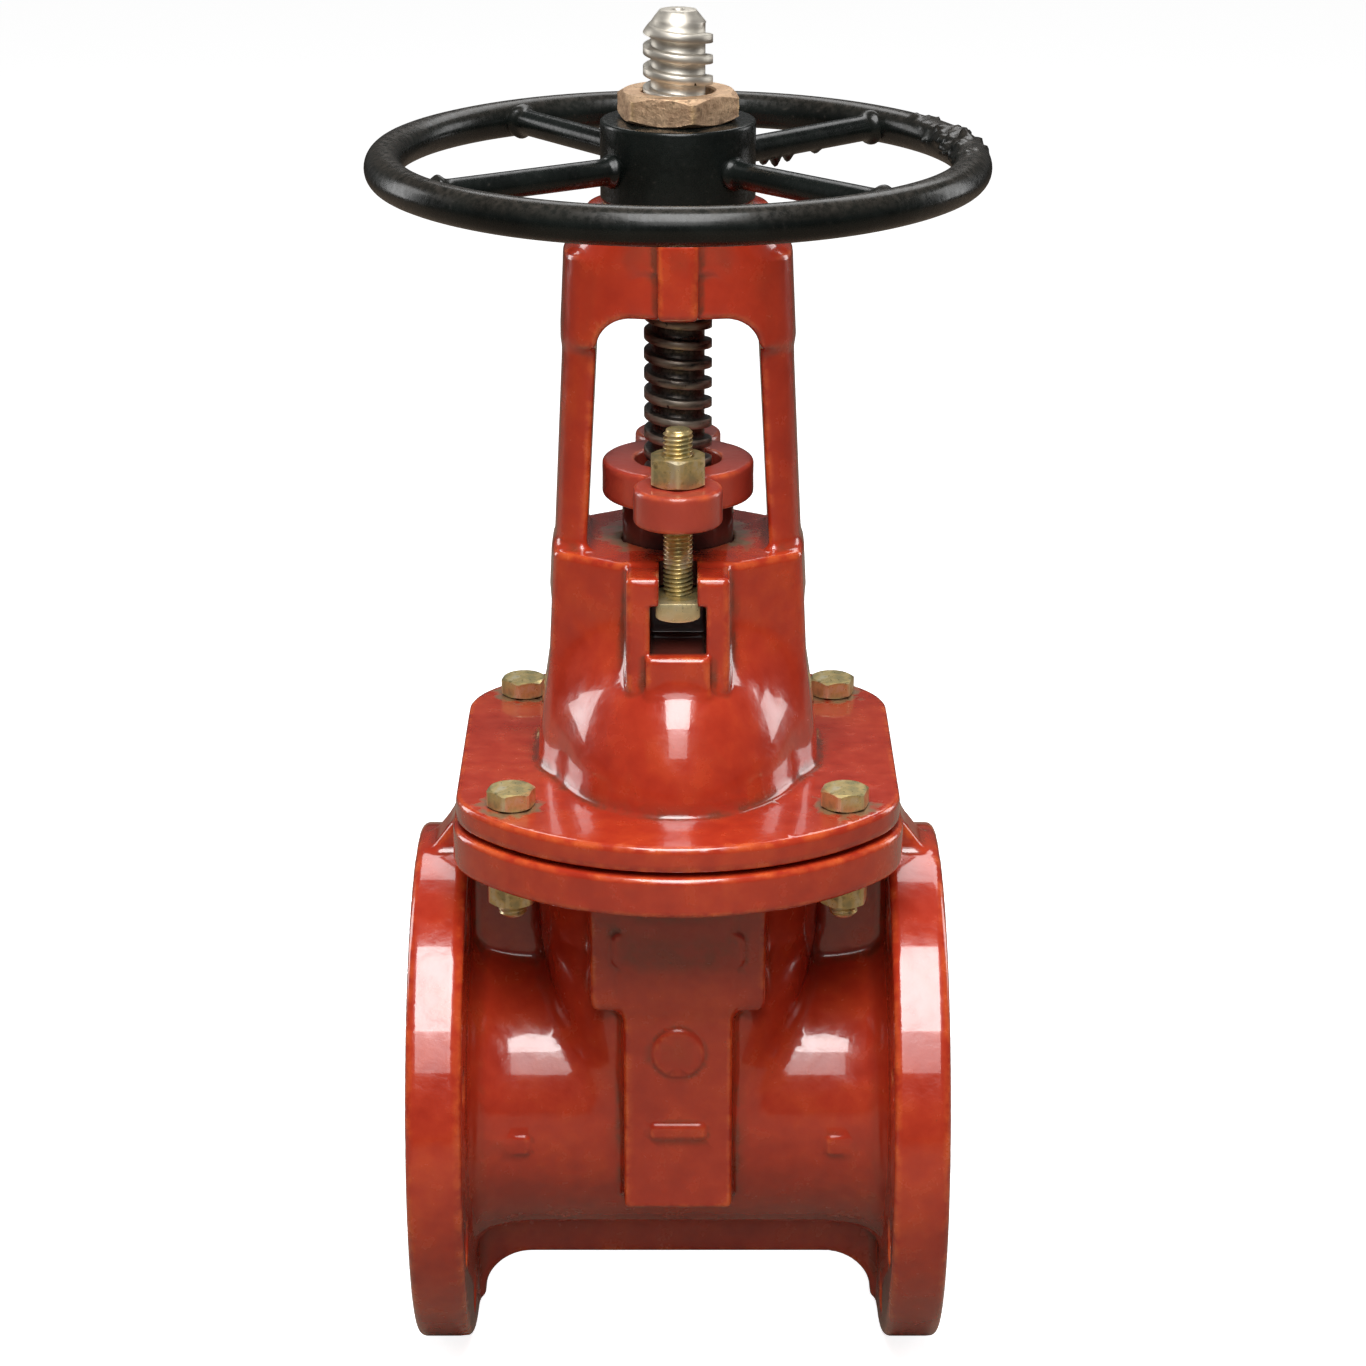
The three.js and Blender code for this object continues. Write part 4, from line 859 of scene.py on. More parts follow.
def wheel_rim():
    """The rim's bent bar, with the ground-over butt weld where its ends meet."""
    around, bar_steps = 480, 40
    spots = random.Random(3)
    blobs = [
        (RIM_WELD_DIRECTION + spots.gauss(0, 9), spots.uniform(40, 190), spots.uniform(0.6, 1.9))
        for _ in range(70)
    ]
    rings = []
    for i in range(around):
        turn = 360 * i / around
        ring = []
        for j in range(bar_steps):
            side = 360 * j / bar_steps
            wobble = math.sin(math.radians(7 * turn)) * math.sin(math.radians(2 * side))
            radius = RIM_BAR_R - 0.25 + 0.12 * wobble
            for direction, blob_side, height in blobs:
                from_blob = (turn - direction + 180) % 360 - 180
                nearness = math.hypot(from_blob * 2.1, (side - blob_side) * 0.14)
                radius += height * math.exp(-((nearness / 1.5) ** 2))
            spread = RIM_R + radius * math.cos(math.radians(side))
            ring.append((
                spread * math.cos(math.radians(turn)),
                spread * math.sin(math.radians(turn)),
                WHEEL_Z + radius * math.sin(math.radians(side)),
            ))
        rings.extend(ring)
    faces = ring_faces(around, bar_steps, 0, True)
    return solid_piece("wheel_rim_bar", (np.array(rings), faces), sharp=60)


def wheel_spoke(index, degrees):
    """One spoke, with a lumpy weld bead at each end and, under one spoke, hardened drips of paint."""
    around, steps = 32, 120
    near, far = HUB_R - 2, RIM_R - RIM_BAR_R + 3  # its ends are sunk into the hub and the rim
    weld = random.Random(index)
    lumps = [(weld.uniform(0, 6.28), weld.uniform(0.4, 1.0)) for _ in range(7)]
    drips = [(weld.uniform(48, 82), weld.uniform(0.8, 1.9)) for _ in range(9)] if index == 1 else []
    points = []
    for i in range(steps + 1):
        along = near + (far - near) * i / steps
        bead = max(bump_at(along, HUB_R + 0.5, 1.5, 1.5), bump_at(along, far - 3, 1.8, 2.0))
        for j in range(around):
            angle = 2 * math.pi * j / around
            lumpy = sum(size * math.cos(angle * 3 + phase + along * 0.9) for phase, size in lumps) / 7
            radius = SPOKE_BAR_R + bead * (1 + 0.6 * lumpy)
            below = math.exp(-(((angle - 1.5 * math.pi) / 0.45) ** 2))
            radius += below * sum(bump_at(along, centre, 0.9, height) for centre, height in drips)
            points.append((along, radius * math.cos(angle), WHEEL_Z + radius * math.sin(angle)))
    near_end = [(near, 0, WHEEL_Z)] * around
    far_end = [(far, 0, WHEEL_Z)] * around
    points = np.array([*near_end, *points, *far_end])
    cos, sin = math.cos(math.radians(degrees)), math.sin(math.radians(degrees))
    spin = np.array([[cos, sin, 0], [-sin, cos, 0], [0, 0, 1]])
    bar = (points @ spin, ring_faces(steps + 3, around))
    return solid_piece(f"wheel_spoke_{index}_bar", bar, sharp=60)


def wheel_hub():
    bore = YOKE_NUT_R + GAP
    outline = [(bore, HUB_LOW_Z), (HUB_R, HUB_LOW_Z), (HUB_R, HUB_TOP_Z), (bore, HUB_TOP_Z)]
    hub = solid_piece("wheel_hub_turned", lathe(eased(outline, 1.6, 5, True), loop=True), sharp=45)
    cut_key_slot(hub)
    return hub


def wheel_nut():
    """The bronze nut on top: sides as cast, top and bottom turned."""
    low = HUB_TOP_Z + GAP
    high = low + WHEEL_NUT_HEIGHT

    def as_cast(p):
        out = Vector((p.x, p.y, 0))
        if out.length < YOKE_NUT_NECK_R + 3 or p.z > high - 0.2 or p.z < low + 0.2:
            return Vector((0, 0, 0))
        lump = noise.noise(p * 0.9) * 0.3 + noise.noise(p * 0.35) * 0.15 - 0.25
        return out.normalized() * lump

    mouth_r, neck_room, room_top = STEM_R + 0.8, YOKE_NUT_NECK_R + GAP, YOKE_NUT_TOP_Z + GAP
    bore = [
        (mouth_r + 0.7, high), (mouth_r, high - 0.7), (mouth_r, room_top),
        (neck_room, room_top), (neck_room, low),
    ]
    blank = six_sided(WHEEL_NUT_FLATS, low, high, WHEEL_NUT_TURN, bore, 0.5, 10)
    return solid_piece("wheel_nut_hex", blank, sharp=30, roughen=as_cast)


# ---- Wedge ----


def wedge_distance(x, y, z, inset):
    """The wedge's disc, cut to a sloping slab, with a guide lug at each side."""
    radius = WEDGE_R - inset
    top = WEDGE_TOP_Z - inset
    disc = np.where(z < 0, np.hypot(y, z) - radius, y - radius)
    shoulder = (y + z - radius - top + WEDGE_SHOULDER) / math.sqrt(2)
    disc = np.maximum(disc, np.maximum(shoulder, z - top))
    disc = shared(disc, x - WEDGE_HALF_X - WEDGE_SLOPE * z + inset, WEDGE_EDGE - inset / 2)
    lug = np.maximum(x - LUG_HALF_X + inset / 2, y - CHANNEL_Y + 1.5 + inset)
    lug = np.maximum(lug, slab(z, LUG_Z[0] + inset, LUG_Z[1] - inset))
    return joined(disc, lug, 0.5)


def wedge_core():
    """The iron wedge under its rubber, with the socket and the cross hole for the stem's tip."""

    def distance(x, y, z):
        disc = wedge_distance(x, y, z, RUBBER_THICK + GAP)
        hub_height = slab(z, WEDGE_TOP_Z - RUBBER_THICK - 1, WEDGE_HUB_TOP_Z)
        solid = joined(disc, shared(np.hypot(x, y) - WEDGE_HUB_R, hub_height, 1))
        socket = np.maximum(np.hypot(x, y) - STEM_TIP_R - GAP, WEDGE_SOCKET_Z - z)
        pin_hole = np.hypot(x, z - WEDGE_PIN_Z) - WEDGE_PIN_HOLE_R
        return without(solid, joined(socket, pin_hole), 0.6)

    return field_mesh("wedge_core_cast", distance, (0, 0, -60), (26, 66, 82), 1.2, 0.03)


def wedge_rubber():
    """The rubber moulded all over the wedge except on top of its hub."""

    def distance(x, y, z):
        shell = without(wedge_distance(x, y, z, 0), wedge_distance(x, y, z, RUBBER_THICK))
        hub_hole = np.hypot(x, y) - WEDGE_HUB_R - GAP
        return without(shell, np.maximum(hub_hole, WEDGE_TOP_Z - RUBBER_THICK - 1 - z))

    return field_mesh("wedge_rubber_moulded", distance, (0, 0, -60), (26, 66, 54), 1.0, 0.03)


# ---- Materials. Textures follow each piece's own coordinates: heights are from the pipe axis. ----

NO_FLATS = 60  # mm, wider than any turned bronze piece, so that none shows the painted corner highlight
GROOVE_PITCH = 0.9  # mm between the turned grooves of a gasket face
GROOVED_R = 84
BOLT_RESIDUE_R = (14.5, 10.5)  # mm, where the residue starts and where it is thickest
DECK_RESIDUE_R = (34, 27)
# mm from the wheel's axis, where the rim gets its painted sheen and hand wear
RIM_SHEEN_AND_WEAR_R = (105, 118)
STEM_GREASE_TOP_Z = (372, 352)
STEM_GREASE_LOW_Z = (92, 150)
NOISE_RANGE = (0.3, 0.7)  # a noise texture's values mostly lie between these
RED = (0.49, 0.038, 0.013)
RED_DEEP = (0.42, 0.029, 0.011)
RED_BRIGHT = (0.56, 0.055, 0.015)
# Orange of worn paint on bulging edges, also a painted highlight along them.
RED_WORN_HIGHLIGHT = (0.78, 0.14, 0.03)
RED_DULL = (0.42, 0.075, 0.052)
# Dark brown for dirt specks, and for painted shade in hollows.
DIRT_AND_SHADE = (0.10, 0.035, 0.018)
RESIDUE = (0.20, 0.15, 0.075)
# Near black for grease, and for painted shade in deep places.
GREASE_AND_SHADE = (0.014, 0.008, 0.006)

SHADER_INPUTS = {
    "metallic": "Metallic",
    "shine": "Specular IOR Level",
    "coat": "Coat Weight",
    "coat_roughness": "Coat Roughness",
    "glow": "Emission Strength",
    "glow_colour": "Emission Color",
}


class Shader:
    """One material's nodes, built up from small steps."""

    def __init__(self, name):
        self.material = bpy.data.materials.new(name)
        self.material.use_nodes = True
        self.tree = self.material.node_tree
        self.surface = self.tree.nodes["Principled BSDF"]
        self.place = self.add("ShaderNodeTexCoord").outputs["Object"]
        self.bumps = None

    def plug(self, socket, value):
        if isinstance(value, bpy.types.NodeSocket):
            self.tree.links.new(value, socket)
        else:
            socket.default_value = value

    def add(self, kind, *values, **settings):
        """A new node, with values or links for its first inputs."""
        node = self.tree.nodes.new(kind)
        for key, value in settings.items():
            setattr(node, key, value)
        for socket, value in zip(node.inputs, values):
            self.plug(socket, value)
        return node

    def math(self, operation, *values):
        return self.add("ShaderNodeMath", *values, operation=operation).outputs[0]

    def vector(self, operation, *values):
        node = self.add("ShaderNodeVectorMath", *values, operation=operation)
        return node.outputs["Value" if operation in ("LENGTH", "DISTANCE") else "Vector"]

    def axes(self, place):
        """The X, Y and Z of a place or a direction."""
        return self.add("ShaderNodeSeparateXYZ", place).outputs

    def times(self, a, b):
        return self.math("MULTIPLY", a, b)

    def noise(self, scale, detail=3.0, rough=0.55, stretch=(1, 1, 1)):
        """Smooth noise between 0 and 1 whose features are about 1 / scale metres."""
        place = self.vector("MULTIPLY", self.place, stretch)
        node = self.add("ShaderNodeTexNoise")
        settings = {"Vector": place, "Scale": scale, "Detail": detail, "Roughness": rough}
        for name, value in settings.items():
            self.plug(node.inputs[name], value)
        return node.outputs["Fac"]

    def spread(self, value, low, high, to_low=0.0, to_high=1.0):
        """The value moved from the range low to high into another range, and held there."""
        return self.add("ShaderNodeMapRange", value, low, high, to_low, to_high).outputs[0]

    def across(self, noise, to_low, to_high):
        """Noise moved from the range that it mostly keeps to into another range."""
        return self.spread(noise, *NOISE_RANGE, to_low, to_high)

    def ragged(self, value, scale, detail, reach):
        """The value moved up and down by that many millimetres, so that its limits look ragged."""
        return self.math("ADD", value, self.across(self.noise(scale, detail), -reach * MM, reach * MM))

    def ramp(self, value, *stops):
        """A colour read off a list of (place, colour) stops."""
        node = self.add("ShaderNodeValToRGB", value)
        while len(node.color_ramp.elements) < len(stops):
            node.color_ramp.elements.new(1)
        for element, (place, colour) in zip(node.color_ramp.elements, stops):
            element.position = place
            element.color = (*colour, 1)
        return node.outputs["Color"]

    def mix(self, share, a, b):
        """Colour a, with a share of colour b."""
        node = self.add("ShaderNodeMix", data_type="RGBA")
        for index, value in ((0, share), (6, a), (7, b)):
            is_colour = isinstance(value, tuple)
            self.plug(node.inputs[index], (*value, 1) if is_colour else value)
        return node.outputs[2]

    def attribute(self, name):
        return self.add("ShaderNodeAttribute", attribute_name=name).outputs["Fac"]

    def height(self):
        return self.axes(self.place)[2]

    def from_axis(self):
        """Distance from the piece's own upright axis, in metres."""
        return self.vector("LENGTH", self.vector("MULTIPLY", self.place, (1, 1, 0)))

    def band(self, value, low, high, soft):
        """1 where the value, in metres, is between low and high millimetres, and 0 outside."""
        rise = self.spread(value, (low - soft) * MM, low * MM)
        return self.times(rise, self.spread(value, (high + soft) * MM, high * MM))

    def near_corners(self, flats, start, end):
        """0 to 1 from start to end, as shares of the way from a nut's middle to its corners."""
        corner_r = flats / 2 / math.cos(math.pi / 6) * MM
        return self.spread(self.from_axis(), corner_r * start, corner_r * end)

    def bump(self, height, distance):
        """Raises the surface by up to that many millimetres, on top of the bumps it has already."""
        node = self.add("ShaderNodeBump")
        self.plug(node.inputs["Distance"], distance * MM)
        self.plug(node.inputs["Height"], height)
        if self.bumps:
            self.plug(node.inputs["Normal"], self.bumps)
        self.bumps = node.outputs["Normal"]

    def done(self, colour, roughness, **more):
        """Connects the shader and gives back the material."""
        self.plug(self.surface.inputs["Base Color"], colour)
        self.plug(self.surface.inputs["Roughness"], roughness)
        if self.bumps:
            self.plug(self.surface.inputs["Normal"], self.bumps)
        for name, value in more.items():
            self.plug(self.surface.inputs[SHADER_INPUTS[name]], value)
        return self.material


def bolt_residue(paint):
    """Where grease and dust have settled round the four bonnet bolts, from 0 to 1."""
    folded = paint.vector("ABSOLUTE", paint.vector("MULTIPLY", paint.place, (1, 1, 0)))
    bolt = (BONNET_BOLT_XY * MM, BONNET_BOLT_XY * MM, 0)
    away = paint.ragged(paint.vector("DISTANCE", folded, bolt), 170, 4, 4)
    top = paint.band(paint.height(), BONNET_FLANGE_TOP_Z - 0.5, BONNET_FLANGE_TOP_Z + 0.5, 0.4)
    return paint.times(top, paint.spread(away, *(r * MM for r in BOLT_RESIDUE_R)))


def deck_residue(paint):
    """Where grease and dust have settled round the gland's nose, from 0 to 1."""
    away = paint.ragged(paint.from_axis(), 150, 4, 6)
    top = paint.band(paint.height(), DECK_Z - 1, DECK_Z + 0.5, 0.5)
    return paint.times(top, paint.spread(away, *(r * MM for r in DECK_RESIDUE_R)))


def face_grooves(paint):
    """The fine turned grooves on the two gasket faces, as a height from 0 to 1."""
    radius = paint.vector("LENGTH", paint.vector("MULTIPLY", paint.place, (0, 1, 1)))
    wave = paint.math("SINE", paint.times(radius, 2 * math.pi / (GROOVE_PITCH * MM)))
    x = paint.math("ABSOLUTE", paint.axes(paint.place)[0])
    on_face = paint.spread(x, (FLANGE_FACE_X - 0.4) * MM, (FLANGE_FACE_X - 0.1) * MM)
    inside = paint.spread(radius, GROOVED_R * MM, (GROOVED_R - 1) * MM)
    return paint.times(paint.times(on_face, inside), wave)


def pocket_shade(paint):
    """Painted shade inside the deep pocket that holds a gland bolt's head, from 0 to 1."""
    x, y, z = paint.axes(paint.vector("ABSOLUTE", paint.place))
    across = paint.band(x, 0, POCKET_HALF_X + 0.4, 0.6)
    along = paint.band(y, POCKET_BACK_Y - 1.5, PAD_FRONT_Y - 3, 3)
    return paint.times(paint.times(across, along), paint.band(z, LEDGE_TOP_Z - 6, DECK_Z - 1, 0.5))


def nose_shade_and_grease(paint):
    """Painted shade and dark grease on the gland's nose, below its plate, from 0 to 1."""
    height = paint.ragged(paint.height(), 120, 3, 1.5)
    return paint.spread(height, (GLAND_LOW_Z + 0.5) * MM, (GLAND_LOW_Z - 1) * MM)


def red_enamel(name, dull=0.0, stains_and_shade=(), grooved=False):
    """Thick glossy enamel over a sand casting: uneven tone, orange edges from wear and painted
    highlight, brown corners from painted shade and dirt.
    """
    paint = Shader(name)
    broad = paint.noise(24, 3)
    middle = paint.noise(95, 4, 0.6)
    fine = paint.noise(420, 3, 0.6)
    tone = paint.math("ADD", paint.times(broad, 0.55), paint.times(middle, 0.45))
    colour = paint.ramp(tone, (0.36, RED_DEEP), (0.50, RED), (0.64, RED_BRIGHT))
    colour = paint.mix(dull, colour, RED_DULL)
    # Bulging edges turn orange: worn paint and a painted highlight.
    edge = paint.spread(paint.attribute("edge"), 0.30, 0.85)
    worn_highlight = paint.times(edge, paint.spread(middle, 0.42, 0.62, 0, 0.6))
    colour = paint.mix(worn_highlight, colour, RED_WORN_HIGHLIGHT)
    # Hollows turn dark brown: painted shade, with some dirt.
    hollow = paint.spread(paint.attribute("corner"), 0.12, 0.70)
    shade_and_dirt_in_hollows = paint.times(hollow, paint.spread(middle, 0.36, 0.58, 0.1, 0.7))
    colour = paint.mix(shade_and_dirt_in_hollows, colour, DIRT_AND_SHADE)
    specks = paint.times(paint.spread(fine, 0.70, 0.75), paint.spread(middle, 0.50, 0.62))
    colour = paint.mix(paint.times(specks, 0.6), colour, DIRT_AND_SHADE)
    rough = paint.across(middle, 0.17 + 0.28 * dull, 0.30 + 0.28 * dull)
    # Added marks are residue stains, and painted shade in the bolt-head pocket and on the gland's
    # nose.
    for mark, mark_colour in stains_and_shade:
        share = mark(paint)
        colour = paint.mix(paint.times(share, 0.85), colour, mark_colour)
        rough = paint.math("ADD", rough, paint.times(share, 0.3))
    paint.bump(broad, 0.9)
    paint.bump(middle, 0.32)
    paint.bump(fine, 0.03)
    if grooved:
        paint.bump(face_grooves(paint), 0.12)
    return paint.done(colour, rough, coat=1 - 0.8 * dull, coat_roughness=0.05)


def black_enamel():
    """The wheel's dip-coated black, with a painted brown-grey sheen on upward faces where hands turn
    it and wear it.
    """
    paint = Shader("black_enamel_painted_sheen_and_wear")
    broad = paint.noise(45, 3)
    fine = paint.noise(380, 4, 0.6)
    colour = paint.ramp(broad, (0.35, (0.003, 0.004, 0.0035)), (0.65, (0.007, 0.009, 0.008)))
    # Upward faces near the rim get a painted brown-grey sheen, mixed with hand wear.
    up = paint.axes(paint.add("ShaderNodeNewGeometry").outputs["Normal"])[2]
    upward = paint.spread(up, 0.2, 0.95)
    rubbed = paint.times(upward, paint.spread(paint.from_axis(), *(r * MM for r in RIM_SHEEN_AND_WEAR_R)))
    rubbed = paint.times(rubbed, paint.spread(fine, 0.35, 0.65, 0.3, 1))
    colour = paint.mix(paint.times(rubbed, 0.6), colour, (0.055, 0.045, 0.036))
    dust = paint.times(paint.spread(fine, 0.64, 0.74), 0.25)
    colour = paint.mix(dust, colour, (0.07, 0.06, 0.05))
    paint.bump(broad, 0.4)
    paint.bump(fine, 0.06)
    rough = paint.across(fine, 0.20, 0.36)
    return paint.done(colour, rough, shine=0.28, coat=0.12, coat_roughness=0.12)


def stem_steel():
    """Stainless steel: bright and warm above the wheel, black with old grease in the yoke."""
    steel = Shader("stainless_stem")
    height = steel.height()
    away = steel.from_axis()
    long_streaks = steel.noise(60, 3, 0.5, (1, 1, 6))
    fine = steel.noise(700, 3, 0.6)
    below_head = steel.spread(height, *(z * MM for z in STEM_GREASE_TOP_Z))
    greasy = steel.times(below_head, steel.spread(height, *(z * MM for z in STEM_GREASE_LOW_Z)))
    crest = steel.spread(away, (STEM_R - 1.09) * MM, (STEM_R - 0.19) * MM)
    clean = steel.ramp(long_streaks, (0.3, (0.52, 0.48, 0.42)), (0.7, (0.70, 0.66, 0.58)))
    grease = steel.ramp(fine, (0.35, (0.020, 0.016, 0.014)), (0.7, (0.080, 0.064, 0.052)))
    rubbed = steel.times(crest, steel.spread(long_streaks, 0.35, 0.62))
    grease = steel.mix(steel.times(rubbed, 0.85), grease, (0.36, 0.30, 0.24))
    colour = steel.mix(greasy, clean, grease)
    pits = steel.times(steel.spread(steel.noise(260, 2), 0.70, 0.74), crest)
    colour = steel.mix(pits, colour, (0.03, 0.025, 0.02))
    steel.bump(steel.noise(900, 3, 0.6, (1, 1, 5)), 0.03)
    steel.bump(pits, -0.12)
    rough = steel.math("ADD", steel.across(long_streaks, 0.42, 0.56), steel.times(greasy, -0.16))
    return steel.done(colour, rough, metallic=steel.spread(greasy, 0, 1, 0.9, 0.55))


def bronze(name, flats, cast):
    """Bronze with a painted golden highlight on its corners. cast is how far its sides are still as
    the sand left them.
    """
    metal = Shader(name)
    grain = metal.noise(320, 4, 0.65)
    broad = metal.noise(110, 3)
    dark = (0.46, 0.29, 0.18)
    light = (0.82, 0.58, 0.37)
    tone = metal.math("ADD", metal.times(grain, 0.5), metal.times(broad, 0.5))
    colour = metal.ramp(tone, (0.38, dark), (0.62, light))
    # The corners get a painted golden highlight.
    corner = metal.near_corners(flats, 0.955, 0.985)
    colour = metal.mix(metal.times(corner, 0.8), colour, (0.86, 0.62, 0.32))
    sooty = metal.times(metal.spread(grain, 0.54, 0.66), 0.25 + 0.45 * cast)
    sooty = metal.times(sooty, metal.spread(corner, 0, 1, 1, 0))
    colour = metal.mix(sooty, colour, (0.13, 0.075, 0.045))
    metal.bump(broad, 0.2 * cast)
    metal.bump(grain, 0.05 + 0.5 * cast)
    rough = metal.across(grain, 0.34 + 0.10 * cast, 0.50 + 0.15 * cast)
    return metal.done(colour, rough, metallic=0.8)


def yellow_zinc(name, flats):
    """Yellow chromate over zinc: olive and gold patches, with a painted highlight on the corners."""
    metal = Shader(name)
    broad = metal.noise(140, 3)
    grain = metal.noise(800, 3, 0.6)
    olive, gold, pale = (0.46, 0.40, 0.20), (0.74, 0.58, 0.25), (0.80, 0.72, 0.50)
    colour = metal.ramp(broad, (0.36, olive), (0.52, gold), (0.68, pale))
    # The corners get a painted pale-gold highlight.
    corner = metal.near_corners(flats, 0.94, 0.98)
    colour = metal.mix(metal.times(corner, 0.7), colour, (0.92, 0.78, 0.45))
    grime = metal.times(metal.spread(metal.noise(230, 4), 0.60, 0.72), 0.5)
    colour = metal.mix(grime, colour, (0.05, 0.035, 0.02))
    metal.bump(grain, 0.04)
    return metal.done(colour, metal.across(grain, 0.26, 0.42), metallic=0.75)


def cast_iron():
    """Bare ductile iron as cast, grey with a brown bloom."""
    metal = Shader("iron_as_cast")
    grain = metal.noise(500, 4, 0.6)
    bloom = metal.noise(70, 3)
    colour = metal.ramp(bloom, (0.35, (0.09, 0.088, 0.085)), (0.65, (0.20, 0.165, 0.14)))
    metal.bump(grain, 0.25)
    return metal.done(colour, metal.across(grain, 0.5, 0.7), metallic=0.7)


def moulded_rubber():
    """Black moulded rubber with a chalky bloom."""
    rubber = Shader("rubber_moulded")
    bloom = rubber.noise(60, 4)
    grain = rubber.noise(1200, 2)
    colour = rubber.ramp(bloom, (0.35, (0.010, 0.010, 0.011)), (0.70, (0.045, 0.043, 0.042)))
    rubber.bump(grain, 0.03)
    return rubber.done(colour, rubber.across(bloom, 0.42, 0.62))


def packing_braid():
    """Graphited braid: a diagonal plait with a dark sheen."""
    braid = Shader("graphite_braid")
    plait = braid.add("ShaderNodeTexWave", wave_profile="SIN", bands_direction="DIAGONAL")
    braid.plug(plait.inputs["Vector"], braid.place)
    braid.plug(plait.inputs["Scale"], 220)
    braid.plug(plait.inputs["Distortion"], 1.5)
    strand = plait.outputs["Fac"]
    colour = braid.ramp(strand, (0.2, (0.012, 0.012, 0.013)), (0.8, (0.075, 0.074, 0.076)))
    braid.bump(strand, 0.4)
    return braid.done(colour, braid.across(braid.noise(500), 0.35, 0.55))


def gasket_fibre():
    """Compressed fibre sheet, dark and slightly flecked."""
    sheet = Shader("fibre_sheet")
    flecks = sheet.noise(900, 3, 0.6, (1, 1, 3))
    colour = sheet.ramp(flecks, (0.4, (0.012, 0.011, 0.010)), (0.7, (0.060, 0.052, 0.045)))
    sheet.bump(flecks, 0.08)
    return sheet.done(colour, sheet.across(flecks, 0.6, 0.8))


# ---- Studio ----

CAMERA_AWAY = 1.4961  # metres in front of the stem
CAMERA_HEIGHT = 0.7177  # metres above the pipe axis
CAMERA_TILT = 70.48  # degrees up from straight down
CAMERA_LENS = 97.0
CAMERA_SHIFT = 0.0037
FLOOR_BOUNCE = (0.26, 0.20, 0.15)
FLOOR_SHOWN = (0.85, 0.85, 0.85)
FLOOR_GLOW = 0.88
WORLD_LIGHT = 0.07
LIGHTS_AIM = (0, 0, 0.28)
SOFT_BOXES = (  # name, place in metres, width and height in metres, power in watts
    ("high_front_box", (0, -0.84, 1.86), (0.9, 1.35), 40),
    ("low_front_box", (0, -1.5, 1.22), (0.7, 0.6), 4),
    ("left_box", (-1.5, 0.75, 0.75), (0.5, 1.1), 7),
    ("right_box", (1.5, 0.75, 0.75), (0.5, 1.1), 6),
    ("back_box", (0.2, 1.3, 1.7), (1.4, 0.7), 9),
)


def studio_floor():
    """A wide pale sweep for the valve to stand on. It throws back less light than it shows."""
    shape = bmesh.new()
    bmesh.ops.create_grid(shape, x_segments=1, y_segments=1, size=12)
    mesh = bpy.data.meshes.new("studio_floor")
    shape.to_mesh(mesh)
    shape.free()
    floor = placed("studio_floor", mesh)
    floor.location = (0, 0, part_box("valve_body")[0].z - 0.0005)
    paper = Shader("studio_paper")
    seen = paper.add("ShaderNodeLightPath").outputs["Is Camera Ray"]
    colour = paper.mix(seen, FLOOR_BOUNCE, FLOOR_SHOWN)
    glow = paper.times(seen, FLOOR_GLOW)
    floor.data.materials.append(paper.done(colour, 0.9, glow_colour=(1, 1, 1, 1), glow=glow))


def soft_box(name, place, size, power):
    """A rectangular light aimed at the middle of the valve."""
    light = bpy.data.lights.new(name, "AREA")
    light.shape = "RECTANGLE"
    light.size, light.size_y = size
    light.energy = power
    lamp = bpy.data.objects.new(name, light)
    lamp.location = place
    lamp.rotation_euler = (Vector(LIGHTS_AIM) - Vector(place)).to_track_quat("-Z", "Y").to_euler()
    bpy.context.scene.collection.objects.link(lamp)


def studio():
    """The floor, the lights, and a world that looks white but lights the valve only a little."""
    studio_floor()
    for box in SOFT_BOXES:
        soft_box(*box)
    world = bpy.data.worlds.new("studio_world")
    world.use_nodes = True
    tree = world.node_tree
    seen = tree.nodes.new("ShaderNodeLightPath").outputs["Is Camera Ray"]
    brightness = tree.nodes.new("ShaderNodeMapRange")
    brightness.inputs["To Min"].default_value = WORLD_LIGHT
    brightness.inputs["To Max"].default_value = 1
    tree.links.new(seen, brightness.inputs["Value"])
    tree.links.new(brightness.outputs[0], tree.nodes["Background"].inputs["Strength"])
    tree.nodes["Background"].inputs["Color"].default_value = (1, 1, 1, 1)
    scene = bpy.context.scene
    scene.world = world
    scene.view_settings.view_transform = "Standard"
    scene.view_settings.look = "None"


def camera():
    """The photograph's view: from the front and above, through a long lens."""
    data = bpy.data.cameras.new("photo_camera")
    data.lens = CAMERA_LENS
    data.sensor_width = 36
    data.shift_x = CAMERA_SHIFT
    data.dof.use_dof = False
    piece = bpy.data.objects.new("photo_camera", data)
    piece.location = (0, -CAMERA_AWAY, AXIS_Z + CAMERA_HEIGHT)
    piece.rotation_euler = (math.radians(CAMERA_TILT), 0, 0)
    bpy.context.scene.collection.objects.link(piece)
    bpy.context.scene.camera = piece


# ---- The valve ----


def show(piece, body, stands_for, material):
    """Puts a piece on its body in place of its CAD node, with its material."""
    piece.data.materials.clear()
    piece.data.materials.append(material)
    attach(piece, body)
    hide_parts(stands_for)


def dress(node, material, edge):
    """A new material and soft edges for a CAD node whose own shape is right."""
    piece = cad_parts[node]
    piece.material_slots[0].material = material
    bevel = piece.modifiers.new("soft edges", "BEVEL")
    bevel.width = edge * MM
    bevel.segments = 2
    bevel.limit_method = "ANGLE"


